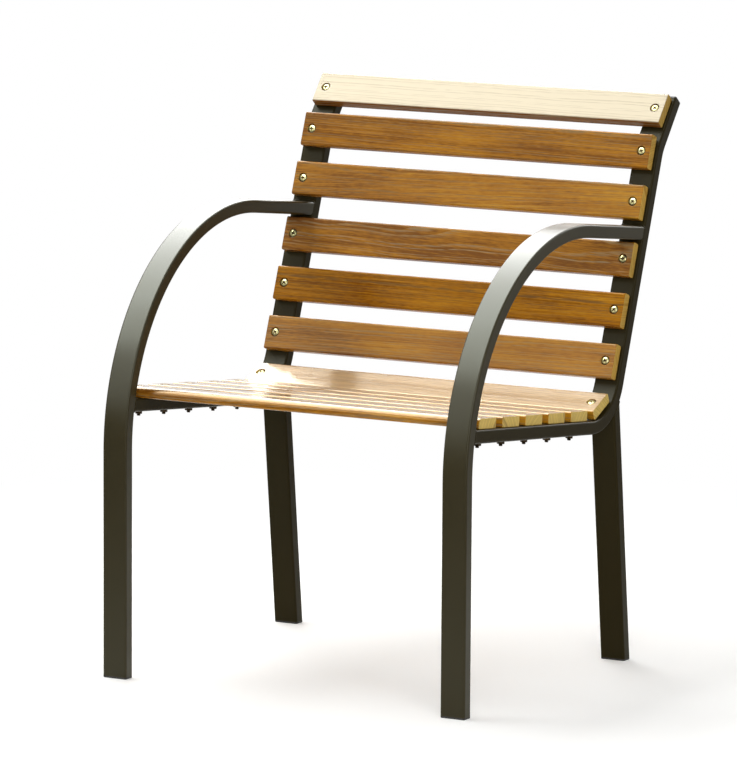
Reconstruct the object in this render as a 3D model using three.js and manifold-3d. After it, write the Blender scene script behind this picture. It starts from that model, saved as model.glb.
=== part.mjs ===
/**
 * A garden armchair: two bent steel side frames with twelve wooden slats bolted across them.
 *
 * Units are millimetres and +Z is up. The sitter looks along -Y, so the sitter's left is +X.
 * The chair is drawn with the front of its front legs at y = 0 and its feet on z = 0, and is
 * then moved along Y so that the origin lies on the floor under its middle.
 */

import * as THREE from 'three';
import { mergeVertices } from 'three/addons/utils/BufferGeometryUtils.js';
import Module from 'manifold-3d';

const { degToRad } = THREE.MathUtils;

// Side frame, as set out from the side
const CHAIR_WIDTH = 610;
const SEAT_HEIGHT = 421;
const SEAT_DEPTH = 456.5;
const SEAT_SLOPE = degToRad(5.7);
const BACK_LEAN = degToRad(20);
const BACK_LENGTH = 422;
const HEAD_LEAN = degToRad(39.2);
const HEAD_LENGTH = 89;
const ARM_SLOPE = degToRad(7);
const REAR_FOOT_Y = 518;
const REAR_LEG_LEAN = degToRad(6.4);

// Flat steel tube; bend radii are those of its centreline
const TUBE_WIDTH = 40;
const TUBE_DEPTH = 20;
const TUBE_WALL = 2;
const TUBE_CORNER = 3;
const ARM_BEND_RADIUS = 330;
const SEAT_BEND_RADIUS = 85;
const HEAD_BEND_RADIUS = 70;

// Slats
const SLAT_INSET = 5;
const SLAT_WIDTH = 53;
const SLAT_THICKNESS = 16;
const SLAT_EDGE_RADIUS = 3;
const NOSE_RADIUS = 9;
const SEAT_SLAT_START = 45;
const SEAT_SLAT_PITCH = 72.3;
const SEAT_SLATS_STOP = 60;
const CORNER_SLAT_TILT = degToRad(24);
const BACK_FLAT_SLATS = 5;
const BACK_SLAT_START = 60;
const BACK_SLATS_REACH = 15;
const SLATS_BELOW_ARM = 3;
const ARM_GAP = 35.5;
const HEAD_SLAT_START = 32.3;

// Bolts and nuts
const BOLT_DIAMETER = 6;
const BOLT_TIP = 3;
const BOLT_CHAMFER = 0.8;
const HEAD_DIAMETER = 12;
const HEAD_HEIGHT = 3.3;
const HEAD_RIM = 1.2;
const CROSS_LENGTH = 6;
const CROSS_SLOT = 1.3;
const CROSS_DEPTH = 1.7;
const COUNTERBORE_DIAMETER = 14.5;
const COUNTERBORE_DEPTH = 3.7;
const NUT_ACROSS_FLATS = 10;
const NUT_HEIGHT = 5;
const NUT_SIDES = 6;

// Plastic end caps
const CAP_RIM = 3;
const CAP_PLUG = 15;
const CAP_EDGE = 1;

// Clearance between neighbours, and how far a cutting tool runs past what it cuts
const FIT = 0.3;
const OVERRUN = 5;

// Fineness of round forms
const BEND_STEP = degToRad(7);
const EDGE_STEPS = 1;
const NOSE_STEPS = 2;
const ROUND_SIDES = 12;
const HOLE_SIDES = 8;
const COUNTERBORE_SIDES = 16;

const wasm = await Module();
wasm.setup();

/** A solid for joining and cutting, from a closed geometry. */
function solid(geometry) {
  const bare = geometry.clone();
  bare.deleteAttribute('normal');
  bare.deleteAttribute('uv');
  const merged = mergeVertices(bare);
  const corners = merged.index.array;
  const faces = [];
  for (let i = 0; i < corners.length; i += 3) {
    const face = Array.from(corners.slice(i, i + 3));
    if (new Set(face).size === 3) {
      faces.push(...face);
    }
  }
  return new wasm.Manifold(new wasm.Mesh({
    numProp: 3,
    vertProperties: merged.attributes.position.array,
    triVerts: new Uint32Array(faces),
  }));
}

/** The geometry of a joined or cut solid. */
function geometryOf(body) {
  const { vertProperties, triVerts } = body.getMesh();
  const geometry = new THREE.BufferGeometry();
  geometry.setAttribute('position', new THREE.BufferAttribute(vertProperties, 3));
  geometry.setIndex(new THREE.BufferAttribute(triVerts, 1));
  geometry.computeVertexNormals();
  return geometry;
}

// Setting out in the side view: a Vector2 holds (y, z), and a heading turns from +Y to +Z

/** A point along a heading from another, and out from it towards the sitter. */
function offset(from, heading, along, out) {
  const cos = Math.cos(heading);
  const sin = Math.sin(heading);
  return new THREE.Vector2(from.x + along * cos - out * sin, from.y + along * sin + out * cos);
}

/** The corner of two lines drawn beside a given pair, at a distance towards the sitter. */
function offsetCorner(corner, before, after, out) {
  return offset(corner, (before + after) / 2, 0, out / Math.cos((after - before) / 2));
}

/** The place where a line from a point crosses a row of stations. */
function crossing(from, heading, stations) {
  const seen = stations.map(({ at }) => localTo({ at: from, heading }, at));
  const i = seen.findIndex((to, k) => k > 0 && seen[k - 1].y * to.y <= 0 && to.x > 0);
  const share = seen[i - 1].y / (seen[i - 1].y - seen[i].y);
  return stations[i - 1].at.clone().lerp(stations[i].at, share);
}

/** A point as seen from a place: how far along its heading, and how far out towards the sitter. */
function localTo(place, point) {
  const away = point.clone().sub(place.at);
  return away.rotateAround(new THREE.Vector2(), -place.heading);
}

/** The stations of one bend, each a radius from its centre and square to its own heading. */
function bendStations({ corner, before, after, radius }) {
  const turn = after - before;
  const out = Math.sign(turn) * radius;
  const centre = offsetCorner(corner, before, after, out);
  const count = Math.ceil(Math.abs(turn) / BEND_STEP);
  return Array.from({ length: count + 1 }, (_, i) => {
    const heading = before + (turn * i) / count;
    return { at: offset(centre, heading, 0, -out), heading, mitre: 0 };
  });
}

/** A tube's centreline through stations, whose sections stand square to it or on a mitre. */
class TubeLine extends THREE.Curve {
  constructor(stations) {
    super();
    this.stations = stations;
  }

  getSpacedPoints() {
    return this.stations.map(({ at }) => new THREE.Vector3(0, at.x, at.y));
  }

  computeFrenetFrames() {
    const tangents = this.stations.map(({ heading }) => (
      new THREE.Vector3(0, Math.cos(heading), Math.sin(heading))
    ));
    const normals = this.stations.map(() => new THREE.Vector3(1, 0, 0));
    const binormals = this.stations.map(({ heading, mitre }) => {
      const across = heading + mitre;
      const direction = new THREE.Vector3(0, Math.sin(across), -Math.cos(across));
      return direction.divideScalar(Math.cos(mitre));
    });
    return { tangents, normals, binormals };
  }
}

/** A bar of one outline along a row of stations; the outline's x lies across the chair. */
function bar(outline, stations) {
  return new THREE.ExtrudeGeometry(outline, {
    steps: stations.length - 1,
    extrudePath: new TubeLine(stations),
    curveSegments: EDGE_STEPS,
  });
}

/** A rectangle about the origin with a radius at each corner, from the first quadrant round. */
function roundedRectangle(width, height, radii) {
  const quadrants = [[1, 1], [-1, 1], [-1, -1], [1, -1]];
  const shape = new THREE.Shape();
  quadrants.forEach(([right, up], i) => {
    const radius = radii[i];
    const x = right * (width / 2 - radius);
    const y = up * (height / 2 - radius);
    shape.absarc(x, y, radius, (i * Math.PI) / 2, ((i + 1) * Math.PI) / 2);
  });
  return shape;
}

function plainRectangle(width, height) {
  const shape = new THREE.Shape();
  shape.moveTo(width / 2, height / 2);
  shape.lineTo(-width / 2, height / 2);
  shape.lineTo(-width / 2, -height / 2);
  shape.lineTo(width / 2, -height / 2);
  return shape;
}

/** The tube's section, with its bore. */
function tubeOutline() {
  const shape = roundedRectangle(TUBE_WIDTH, TUBE_DEPTH, Array(4).fill(TUBE_CORNER));
  shape.holes.push(plainRectangle(TUBE_WIDTH - 2 * TUBE_WALL, TUBE_DEPTH - 2 * TUBE_WALL));
  return shape;
}

/** The room that a tube takes from the end of another that is welded against it. */
function tubeRoom(stations) {
  return solid(bar(plainRectangle(TUBE_WIDTH + 2 * OVERRUN, TUBE_DEPTH + 2 * FIT), stations));
}

/** A round bar along +Z between two heights. */
function roundBar(radius, low, high, sides) {
  const geometry = new THREE.CylinderGeometry(radius, radius, high - low, sides);
  geometry.rotateX(Math.PI / 2);
  geometry.translate(0, 0, (low + high) / 2);
  return geometry;
}

/** The radius of a faceted hole whose flats clear a round bar by the fit. */
function holeRadius(diameter) {
  return (diameter / 2 + FIT) / Math.cos(Math.PI / HOLE_SIDES);
}

// The lines of the frame, on the faces that the slats lie against

const seatHeading = -SEAT_SLOPE;
const backHeading = Math.PI / 2 - BACK_LEAN;
const headHeading = Math.PI / 2 - HEAD_LEAN;
const seatCorner = new THREE.Vector2(SEAT_DEPTH, SEAT_HEIGHT - SEAT_DEPTH * Math.tan(SEAT_SLOPE));
const headCorner = offset(seatCorner, backHeading, BACK_LENGTH, 0);

// As many flat slats as the seat takes at their pitch, short of its corner
const seatRoom = SEAT_DEPTH - SEAT_SLATS_STOP - SEAT_SLAT_START - SLAT_WIDTH;
const seatFlatSlats = Math.floor(seatRoom / SEAT_SLAT_PITCH) + 1;

// The back's flat slats share its length, and the last reaches a little past the head's corner
const backRoom = BACK_LENGTH + BACK_SLATS_REACH - BACK_SLAT_START - BACK_FLAT_SLATS * SLAT_WIDTH;
const backGap = (backRoom - ARM_GAP) / (BACK_FLAT_SLATS - 2);

/** How far up the back a slat begins; the gap that the arm meets has a width of its own. */
function backSlatStart(index) {
  const extra = index < SLATS_BELOW_ARM ? 0 : ARM_GAP - backGap;
  return BACK_SLAT_START + index * (SLAT_WIDTH + backGap) + extra;
}

/** The front leg and arm: up from the foot, over one long bend and back to the upright. */
function armStations() {
  const heading = -ARM_SLOPE;
  const gapLow = backSlatStart(SLATS_BELOW_ARM - 1) + SLAT_WIDTH;
  const gapHigh = backSlatStart(SLATS_BELOW_ARM);
  const end = offset(seatCorner, backHeading, (gapLow + gapHigh) / 2, FIT);
  const legY = TUBE_DEPTH / 2;
  const corner = new THREE.Vector2(legY, end.y + (end.x - legY) * Math.tan(ARM_SLOPE));
  const upright = Math.PI / 2;
  return [
    { at: new THREE.Vector2(legY, CAP_RIM + FIT), heading: upright, mitre: 0 },
    ...bendStations({ corner, before: upright, after: heading, radius: ARM_BEND_RADIUS }),
    { at: end, heading, mitre: backHeading - upright - heading },
  ];
}

/** The rail and upright: back from the front leg, up the back and over at the head. */
function railStations(leg) {
  const inset = -TUBE_DEPTH / 2;
  const low = offsetCorner(seatCorner, seatHeading, backHeading, inset);
  const high = offsetCorner(headCorner, backHeading, headHeading, inset);
  const start = crossing(low, seatHeading + Math.PI, leg);
  const end = offset(headCorner, headHeading, HEAD_LENGTH, inset);
  return [
    { at: start, heading: seatHeading, mitre: 0 },
    ...bendStations({
      corner: low, before: seatHeading, after: backHeading, radius: SEAT_BEND_RADIUS,
    }),
    ...bendStations({
      corner: high, before: backHeading, after: headHeading, radius: HEAD_BEND_RADIUS,
    }),
    { at: end, heading: headHeading, mitre: 0 },
  ];
}

/** The rear leg: straight up from a level foot to the middle of the rail above it. */
function rearLegStations(rail) {
  const heading = Math.PI / 2 + REAR_LEG_LEAN;
  const footZ = CAP_RIM + FIT;
  const foot = new THREE.Vector2(REAR_FOOT_Y - footZ * Math.tan(REAR_LEG_LEAN), footZ);
  return [
    { at: foot, heading, mitre: -REAR_LEG_LEAN },
    { at: crossing(foot, heading, rail), heading, mitre: 0 },
  ];
}

const armLine = armStations();
const railLine = railStations(armLine);
const rearLegLine = rearLegStations(railLine);

const nutRadius = NUT_ACROSS_FLATS / 2 / Math.cos(Math.PI / NUT_SIDES);

/** How far below a slat the nut starts: past the deepest of the tube that the nut covers. */
function gripLength(place) {
  const reach = nutRadius;
  const face = railLine.map(({ at, heading }) => (
    localTo(place, offset(at, heading, 0, -TUBE_DEPTH / 2))
  ));
  let deepest = 0;
  for (let i = 1; i < face.length; i += 1) {
    const [from, to] = [face[i - 1], face[i]];
    for (const along of [from.x, to.x, -reach, 0, reach]) {
      const share = (along - from.x) / (to.x - from.x);
      if (Math.abs(along) <= reach && share >= 0 && share <= 1) {
        deepest = Math.max(deepest, -THREE.MathUtils.lerp(from.y, to.y, share));
      }
    }
  }
  return deepest + FIT;
}

/** A slat's place: the middle of its underside, the way it lies, and its bolts' grip. */
function slatPlace(name, at, heading) {
  const place = { name, at, heading };
  return { ...place, grip: gripLength(place) };
}

/** The slat that bridges the bend: its lower edges rest on the inside of the curve. */
function cornerSlatPlace(name) {
  const centre = offsetCorner(seatCorner, seatHeading, backHeading, SEAT_BEND_RADIUS - TUBE_DEPTH / 2);
  const reach = SEAT_BEND_RADIUS - TUBE_DEPTH / 2 - FIT - SLAT_EDGE_RADIUS;
  const depth = Math.sqrt(reach ** 2 - (SLAT_WIDTH / 2 - SLAT_EDGE_RADIUS) ** 2) + SLAT_EDGE_RADIUS;
  return slatPlace(name, offset(centre, CORNER_SLAT_TILT, 0, -depth), CORNER_SLAT_TILT);
}

function seatSlatPlaces() {
  const front = new THREE.Vector2(0, SEAT_HEIGHT);
  const places = Array.from({ length: seatFlatSlats }, (_, i) => {
    const along = (SEAT_SLAT_START + SLAT_WIDTH / 2) / Math.cos(SEAT_SLOPE) + i * SEAT_SLAT_PITCH;
    return slatPlace(`seat_slat_${i + 1}`, offset(front, seatHeading, along, FIT), seatHeading);
  });
  return [...places, cornerSlatPlace(`seat_slat_${seatFlatSlats + 1}`)];
}

function backSlatPlaces() {
  const places = Array.from({ length: BACK_FLAT_SLATS }, (_, i) => {
    const along = backSlatStart(i) + SLAT_WIDTH / 2;
    return slatPlace(`back_slat_${i + 1}`, offset(seatCorner, backHeading, along, FIT), backHeading);
  });
  const along = HEAD_SLAT_START + SLAT_WIDTH / 2;
  const head = offset(headCorner, headHeading, along, FIT);
  return [...places, slatPlace(`back_slat_${BACK_FLAT_SLATS + 1}`, head, headHeading)];
}

const seatPlaces = seatSlatPlaces();
const backPlaces = backSlatPlaces();
const boltX = (CHAIR_WIDTH - TUBE_WIDTH) / 2;
const slatLength = CHAIR_WIDTH - 2 * SLAT_INSET;

// Finishes, one material for each piece that asks

function paintedSteel() {
  return new THREE.MeshStandardMaterial({ color: 0x3b362b, roughness: 0.45, metalness: 0.3 });
}

function varnishedWood() {
  return new THREE.MeshStandardMaterial({ color: 0xb0742c, roughness: 0.4, metalness: 0 });
}

function zincPlate() {
  return new THREE.MeshStandardMaterial({ color: 0xb9ab7c, roughness: 0.35, metalness: 0.9 });
}

function blackPlastic() {
  return new THREE.MeshStandardMaterial({ color: 0x211f1b, roughness: 0.6, metalness: 0 });
}

/** A mesh placed in the side view at a distance across the chair. */
function piece(name, geometry, material, { x, at, heading }) {
  const mesh = new THREE.Mesh(geometry, material);
  mesh.name = name;
  mesh.position.set(x, at.x, at.y);
  mesh.rotation.x = heading;
  return mesh;
}

// Side frames

/** The rail's tube, coped to the leg in front of it and drilled for every bolt. */
function railGeometry() {
  let rail = solid(bar(tubeOutline(), railLine)).subtract(tubeRoom(armLine));
  for (const { at, heading, grip } of [...seatPlaces, ...backPlaces]) {
    const hole = roundBar(holeRadius(BOLT_DIAMETER), -grip - OVERRUN, OVERRUN, HOLE_SIDES);
    hole.rotateX(heading);
    hole.translate(0, at.x, at.y);
    rail = rail.subtract(solid(hole));
  }
  return geometryOf(rail);
}

/** The rear leg's tube, coped to the bend that it stands under. */
function rearLegGeometry() {
  const leg = solid(bar(tubeOutline(), rearLegLine)).subtract(tubeRoom(railLine));
  return geometryOf(leg);
}

/** An end cap: a rim with rounded edges below z = CAP_RIM, and the plug that goes up the bore. */
function capGeometry(lean) {
  const outline = roundedRectangle(TUBE_WIDTH, TUBE_DEPTH, Array(4).fill(TUBE_CORNER));
  const rim = new THREE.ExtrudeGeometry(outline, {
    depth: CAP_RIM - 2 * CAP_EDGE,
    bevelThickness: CAP_EDGE,
    bevelSize: CAP_EDGE,
    bevelOffset: -CAP_EDGE,
    bevelSegments: EDGE_STEPS,
    curveSegments: EDGE_STEPS,
  });
  rim.translate(0, 0, CAP_EDGE);
  const narrowing = 2 * (TUBE_WALL + FIT);
  const plug = new THREE.ExtrudeGeometry(
    plainRectangle(TUBE_WIDTH - narrowing, TUBE_DEPTH - narrowing),
    { depth: CAP_RIM + CAP_PLUG - CAP_EDGE, bevelEnabled: false },
  );
  plug.translate(0, 0, CAP_EDGE);
  const cap = geometryOf(solid(rim).add(solid(plug)));
  cap.scale(1, 1 / Math.cos(lean), 1);
  return cap.applyMatrix4(new THREE.Matrix4().makeShear(0, 0, 0, 0, 0, -Math.tan(lean)));
}

const frameShapes = {
  arm: bar(tubeOutline(), armLine),
  rail: railGeometry(),
  rearLeg: rearLegGeometry(),
  squareCap: capGeometry(0),
  rearFootCap: capGeometry(REAR_LEG_LEAN),
};

/** One side frame with the caps in its open tube ends. */
function sideFrame(side, x) {
  const drawn = { x, at: new THREE.Vector2(), heading: 0 };
  const frontFoot = { x, at: new THREE.Vector2(TUBE_DEPTH / 2, 0), heading: 0 };
  const rearFoot = { x, at: new THREE.Vector2(REAR_FOOT_Y, 0), heading: 0 };
  const tubeEnd = railLine.at(-1);
  const top = {
    x,
    at: offset(tubeEnd.at, headHeading, FIT + CAP_RIM, 0),
    heading: headHeading + Math.PI / 2,
  };
  const group = new THREE.Group();
  group.add(
    piece(`${side}_arm_and_front_leg`, frameShapes.arm, paintedSteel(), drawn),
    piece(`${side}_seat_back_rail`, frameShapes.rail, paintedSteel(), drawn),
    piece(`${side}_rear_leg`, frameShapes.rearLeg, paintedSteel(), drawn),
    piece(`${side}_front_foot_cap`, frameShapes.squareCap, blackPlastic(), frontFoot),
    piece(`${side}_rear_foot_cap`, frameShapes.rearFootCap, blackPlastic(), rearFoot),
    piece(`${side}_top_cap`, frameShapes.squareCap, blackPlastic(), top),
  );
  return group;
}

// Slats

/** A slat lying along X on z = 0, with a counterbored hole near each end. */
function slatGeometry(noseRadius, curveSegments) {
  const edge = SLAT_EDGE_RADIUS;
  const outline = roundedRectangle(SLAT_WIDTH, SLAT_THICKNESS, [edge, noseRadius, edge, edge]);
  const plank = new THREE.ExtrudeGeometry(outline, {
    depth: slatLength,
    bevelEnabled: false,
    curveSegments,
  });
  plank.applyMatrix4(new THREE.Matrix4().makeBasis(
    new THREE.Vector3(0, 1, 0),
    new THREE.Vector3(0, 0, 1),
    new THREE.Vector3(1, 0, 0),
  ));
  plank.translate(-slatLength / 2, 0, SLAT_THICKNESS / 2);
  let slat = solid(plank);
  const top = SLAT_THICKNESS + OVERRUN;
  const seat = SLAT_THICKNESS - COUNTERBORE_DEPTH;
  for (const x of [-boltX, boltX]) {
    const hole = roundBar(holeRadius(BOLT_DIAMETER), -OVERRUN, top, HOLE_SIDES);
    const counterbore = roundBar(COUNTERBORE_DIAMETER / 2, seat, top, COUNTERBORE_SIDES);
    hole.translate(x, 0, 0);
    counterbore.translate(x, 0, 0);
    slat = slat.subtract(solid(hole)).subtract(solid(counterbore));
  }
  return geometryOf(slat);
}

const plainSlat = slatGeometry(SLAT_EDGE_RADIUS, EDGE_STEPS);
const nosedSlat = slatGeometry(NOSE_RADIUS, NOSE_STEPS);

function slats() {
  const group = new THREE.Group();
  [...seatPlaces, ...backPlaces].forEach((place, i) => {
    const geometry = i === 0 ? nosedSlat : plainSlat;
    group.add(piece(place.name, geometry, varnishedWood(), { x: 0, ...place }));
  });
  return group;
}

// Bolts and nuts, standing on z = 0 at the underside of the slat that they hold

const headSeat = SLAT_THICKNESS - COUNTERBORE_DEPTH + FIT;

/** A domed bolt with a cross in its head, long enough to pass its nut. */
function boltSolid(grip) {
  const head = HEAD_DIAMETER / 2;
  const shank = BOLT_DIAMETER / 2;
  const end = -grip - NUT_HEIGHT - BOLT_TIP;
  const dome = HEAD_HEIGHT - HEAD_RIM;
  const profile = [
    [0, end],
    [shank - BOLT_CHAMFER, end],
    [shank, end + BOLT_CHAMFER],
    [shank, headSeat],
    [head, headSeat],
    [head, headSeat + HEAD_RIM],
    [head * Math.cos(Math.PI / 4), headSeat + HEAD_RIM + dome * Math.sin(Math.PI / 4)],
    [0, headSeat + HEAD_HEIGHT],
  ].map(([radius, height]) => new THREE.Vector2(radius, height));
  const turned = new THREE.LatheGeometry(profile, ROUND_SIDES);
  turned.rotateX(Math.PI / 2);
  let bolt = solid(turned);
  for (const turn of [0, Math.PI / 2]) {
    const slot = new THREE.BoxGeometry(CROSS_LENGTH, CROSS_SLOT, 2 * CROSS_DEPTH);
    slot.rotateZ(turn);
    slot.translate(0, 0, headSeat + HEAD_HEIGHT);
    bolt = bolt.subtract(solid(slot));
  }
  return bolt;
}

/** A hexagonal blank at the far side of the tube. */
function nutBlank(grip) {
  return solid(roundBar(nutRadius, -grip - NUT_HEIGHT, -grip, NUT_SIDES));
}

function nutGeometry(grip) {
  const bore = roundBar(
    holeRadius(BOLT_DIAMETER), -grip - NUT_HEIGHT - OVERRUN, OVERRUN - grip, HOLE_SIDES,
  );
  return geometryOf(nutBlank(grip).subtract(solid(bore)));
}

/** The seat's fasteners: a bolt and its own nut at each end of each slat. */
function seatFasteners() {
  const group = new THREE.Group();
  seatPlaces.forEach(({ at, heading, grip }, i) => {
    for (const [side, x] of [['left', boltX], ['right', -boltX]]) {
      const place = { x, at, heading };
      const bolt = geometryOf(boltSolid(grip));
      group.add(piece(`seat_bolt_${side}_${i + 1}`, bolt, zincPlate(), place));
      group.add(piece(`seat_nut_${side}_${i + 1}`, nutGeometry(grip), zincPlate(), place));
    }
  });
  return group;
}

/** The back's fasteners: each bolt and its nut, run up tight, are one solid. */
function backFasteners() {
  const group = new THREE.Group();
  backPlaces.forEach(({ at, heading, grip }, i) => {
    for (const [side, x] of [['left', boltX], ['right', -boltX]]) {
      const bolt = geometryOf(boltSolid(grip).add(nutBlank(grip)));
      group.add(piece(`back_bolt_${side}_${i + 1}`, bolt, zincPlate(), { x, at, heading }));
    }
  });
  return group;
}

/** The whole chair, with the origin on the floor under its middle. */
function armchair() {
  const assembly = new THREE.Group();
  assembly.add(sideFrame('left', boltX));
  assembly.add(sideFrame('right', -boltX));
  assembly.add(slats());
  assembly.add(seatFasteners());
  assembly.add(backFasteners());
  const middle = new THREE.Box3().setFromObject(assembly, true).getCenter(new THREE.Vector3());
  assembly.position.y = -middle.y;
  const chair = new THREE.Group();
  chair.add(assembly);
  return chair;
}

export default armchair();
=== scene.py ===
"""A garden armchair: two bent flat-tube steel side frames with twelve varnished ash slats bolted on.

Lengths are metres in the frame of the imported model, +Z up, and the sitter looks along -Y.
A point of the side view is a complex number, y + zi, so a heading is an angle from +Y to +Z
and a turn is one product. The sitter's side of a line is the left of its heading.
"""

from collections import namedtuple

import bmesh
import bpy
import numpy as np
from bpy.props import FloatProperty, FloatVectorProperty, PointerProperty
from mathutils import Matrix, Vector


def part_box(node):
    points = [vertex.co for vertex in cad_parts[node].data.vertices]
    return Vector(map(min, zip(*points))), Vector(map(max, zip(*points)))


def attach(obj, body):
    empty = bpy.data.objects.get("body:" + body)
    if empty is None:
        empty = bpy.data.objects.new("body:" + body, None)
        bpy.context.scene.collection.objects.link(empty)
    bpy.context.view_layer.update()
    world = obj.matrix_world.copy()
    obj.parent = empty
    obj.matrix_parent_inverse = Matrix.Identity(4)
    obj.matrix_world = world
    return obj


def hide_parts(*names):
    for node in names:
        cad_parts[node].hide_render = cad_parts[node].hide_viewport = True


bl_info = {
    "name": "Slatted garden armchair",
    "version": (1, 0, 0),
    "blender": (4, 5, 0),
    "location": "View3D > Sidebar > Armchair",
    "description": "Builds the surfaces, finishes and stage of a slatted garden armchair",
    "category": "Object",
}

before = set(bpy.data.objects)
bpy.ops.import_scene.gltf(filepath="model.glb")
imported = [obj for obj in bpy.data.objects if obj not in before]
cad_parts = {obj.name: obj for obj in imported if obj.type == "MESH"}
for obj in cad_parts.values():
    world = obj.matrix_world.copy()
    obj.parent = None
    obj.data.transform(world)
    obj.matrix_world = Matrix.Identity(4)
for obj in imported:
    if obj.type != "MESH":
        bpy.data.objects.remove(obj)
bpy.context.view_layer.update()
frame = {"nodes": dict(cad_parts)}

MM = 0.001
BODY = "root"
SIDES = {"left": 1, "right": -1}
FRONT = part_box("left_front_foot_cap")[0].y
SEED = 7

# How finely curves are drawn
BEND_STEP = np.radians(2)
ARC_STEPS = 6
EDGE_STEPS = 4
SUPPORT = 0.6 * MM
MERGE = 0.0005 * MM
SHARP_ANGLE = np.radians(38)


def linear(colour):
    """A colour written as sRGB hex, turned to the linear values that shaders take."""
    encoded = np.array([int(colour[i:i + 2], 16) for i in (1, 3, 5)]) / 255
    low = encoded / 12.92
    high = ((encoded + 0.055) / 1.055) ** 2.4
    return (*np.where(encoded <= 0.04045, low, high).tolist(), 1.0)


def scaled(colour_there, depth):
    """A colour made deeper by a factor below 1, or paler by one above it."""
    return (*[depth * part for part in colour_there[:3]], 1.0)


def length(name, description, millimetres):
    """A length setting, given in millimetres."""
    return FloatProperty(name=name, description=description, default=millimetres * MM,
                         subtype="DISTANCE", unit="LENGTH", precision=4)


def angle(name, description, degrees):
    """An angle setting, given in degrees."""
    return FloatProperty(name=name, description=description, default=float(np.radians(degrees)),
                         subtype="ANGLE", unit="ROTATION")


def colour(name, description, value):
    """A colour setting, given as sRGB hex."""
    return FloatVectorProperty(name=name, description=description, default=linear(value),
                               subtype="COLOR", size=4, min=0, max=1)


def amount(name, description, value):
    """A plain setting, zero or more."""
    return FloatProperty(name=name, description=description, default=value, min=0)


# Sizes and colours that a user may change


class ArmchairFrameSizes(bpy.types.PropertyGroup):
    """The side frames, set out on the faces that the slats lie against"""

    chair_width: length("Chair width", "Over both side frames", 610)
    seat_height: length("Seat rail height", "Top of the rail's line at the front legs", 421)
    seat_depth: length("Seat depth", "From the front legs to the corner of seat and back", 456.5)
    seat_slope: angle("Seat slope", "Fall of the seat towards the back", 5.7)
    back_lean: angle("Back lean", "Lean of the back from upright", 20)
    back_length: length("Back length", "From the corner of seat and back up to the head", 422)
    head_lean: angle("Head lean", "Lean of the bent-back head from upright", 39.2)
    head_length: length("Head length", "From the corner of the head to the tube's end", 89)
    arm_slope: angle("Arm slope", "Fall of the arm towards the back", 7)
    rear_foot: length("Rear foot", "Middle of the rear foot, from the front legs", 518)
    rear_leg_lean: angle("Rear leg lean", "Splay of the rear leg from upright", 6.4)
    tube_width: length("Tube width", "The flat tube's size across the chair", 40)
    tube_depth: length("Tube depth", "The flat tube's size in the side view", 20)
    tube_wall: length("Tube wall", "Thickness of the tube's wall", 2)
    tube_corner: length("Tube corner", "Outer radius of the tube's long edges", 3)
    arm_bend: length("Arm bend", "Centreline radius from leg to arm", 330)
    seat_bend: length("Seat bend", "Centreline radius from seat to back", 85)
    head_bend: length("Head bend", "Centreline radius from back to head", 70)
    weld_radius: length("Weld radius", "Radius of the weld bead", 2.4)
    weld_proud: length("Weld height", "How far a dressed weld stands out of flush faces", 0.35)
    weld_pitch: length("Weld ripple", "Spacing of the ripples along a weld", 2.2)


class ArmchairSlatSizes(bpy.types.PropertyGroup):
    """The slats and where they lie"""

    inset: length("Inset", "From the chair's width to a slat's end", 5)
    width: length("Width", "Width of a slat", 53)
    thickness: length("Thickness", "Thickness of a slat", 16)
    edge_radius: length("Edge radius", "Rounding of a slat's long edges", 3)
    nose_radius: length("Nose radius", "Rounding of the front slat's front edge", 9)
    end_radius: length("End easing", "Rounding of the edges at a slat's ends", 0.9)
    seat_start: length("Seat start", "From the front legs to the first seat slat", 45)
    seat_pitch: length("Seat pitch", "Spacing of the seat slats", 72.3)
    corner_tilt: angle("Corner tilt", "Tilt of the slat that bridges the bend", 24)
    back_start: length("Back start", "From the corner of seat and back to the first slat", 60)
    back_pitch: length("Back pitch", "Spacing of the back slats", 78.5)
    arm_gap: length("Arm gap", "How much wider the gap at the arm is", 10)
    head_start: length("Head start", "From the corner of the head to the head slat", 32.3)
    fit: length("Fit", "Play between a slat and the tube", 0.3)


class ArmchairFastenerSizes(bpy.types.PropertyGroup):
    """The bolts, their recesses and their nuts"""

    bolt: length("Bolt", "Diameter of the thread", 6)
    tip: length("Tip", "How far a bolt stands out of its nut", 3)
    head: length("Head", "Diameter of the bolt's head", 12)
    head_height: length("Head height", "Height of the domed head", 3.3)
    head_rim: length("Head rim", "Straight rim below the dome", 1.2)
    cross_length: length("Cross length", "Cross recess, from tip to tip", 7)
    cross_width: length("Cross width", "Width of a wing of the recess", 2.3)
    cross_depth: length("Cross depth", "Depth of the recess", 2.3)
    pitch: length("Thread pitch", "Rise of the thread in one turn", 1)
    thread_depth: length("Thread depth", "Depth of the thread", 0.6)
    counterbore: length("Counterbore", "Diameter of the recess in the wood", 14.5)
    counterbore_depth: length("Counterbore depth", "Depth of the recess in the wood", 3.7)
    hole: length("Hole", "Diameter of the hole through a slat", 6.6)
    nut: length("Nut", "Nut, across its flats", 10)
    nut_height: length("Nut height", "Thickness of the nut", 5)


class ArmchairCapSizes(bpy.types.PropertyGroup):
    """The plastic end caps"""

    rim: length("Rim", "Thickness of the rim that shows", 3)
    edge: length("Edge", "Rounding of the rim", 1.1)
    plug: length("Plug", "Length of the plug inside the tube", 15)
    core: length("Core", "From the tube's outside to the plug's core", 4.2)
    fin: length("Fin", "From the tube's outside to the tips of the plug's fins", 2.3)
    fin_pitch: length("Fin pitch", "Spacing of the fins", 3.6)
    fin_thickness: length("Fin thickness", "Thickness of a fin at its tip", 1)


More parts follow.
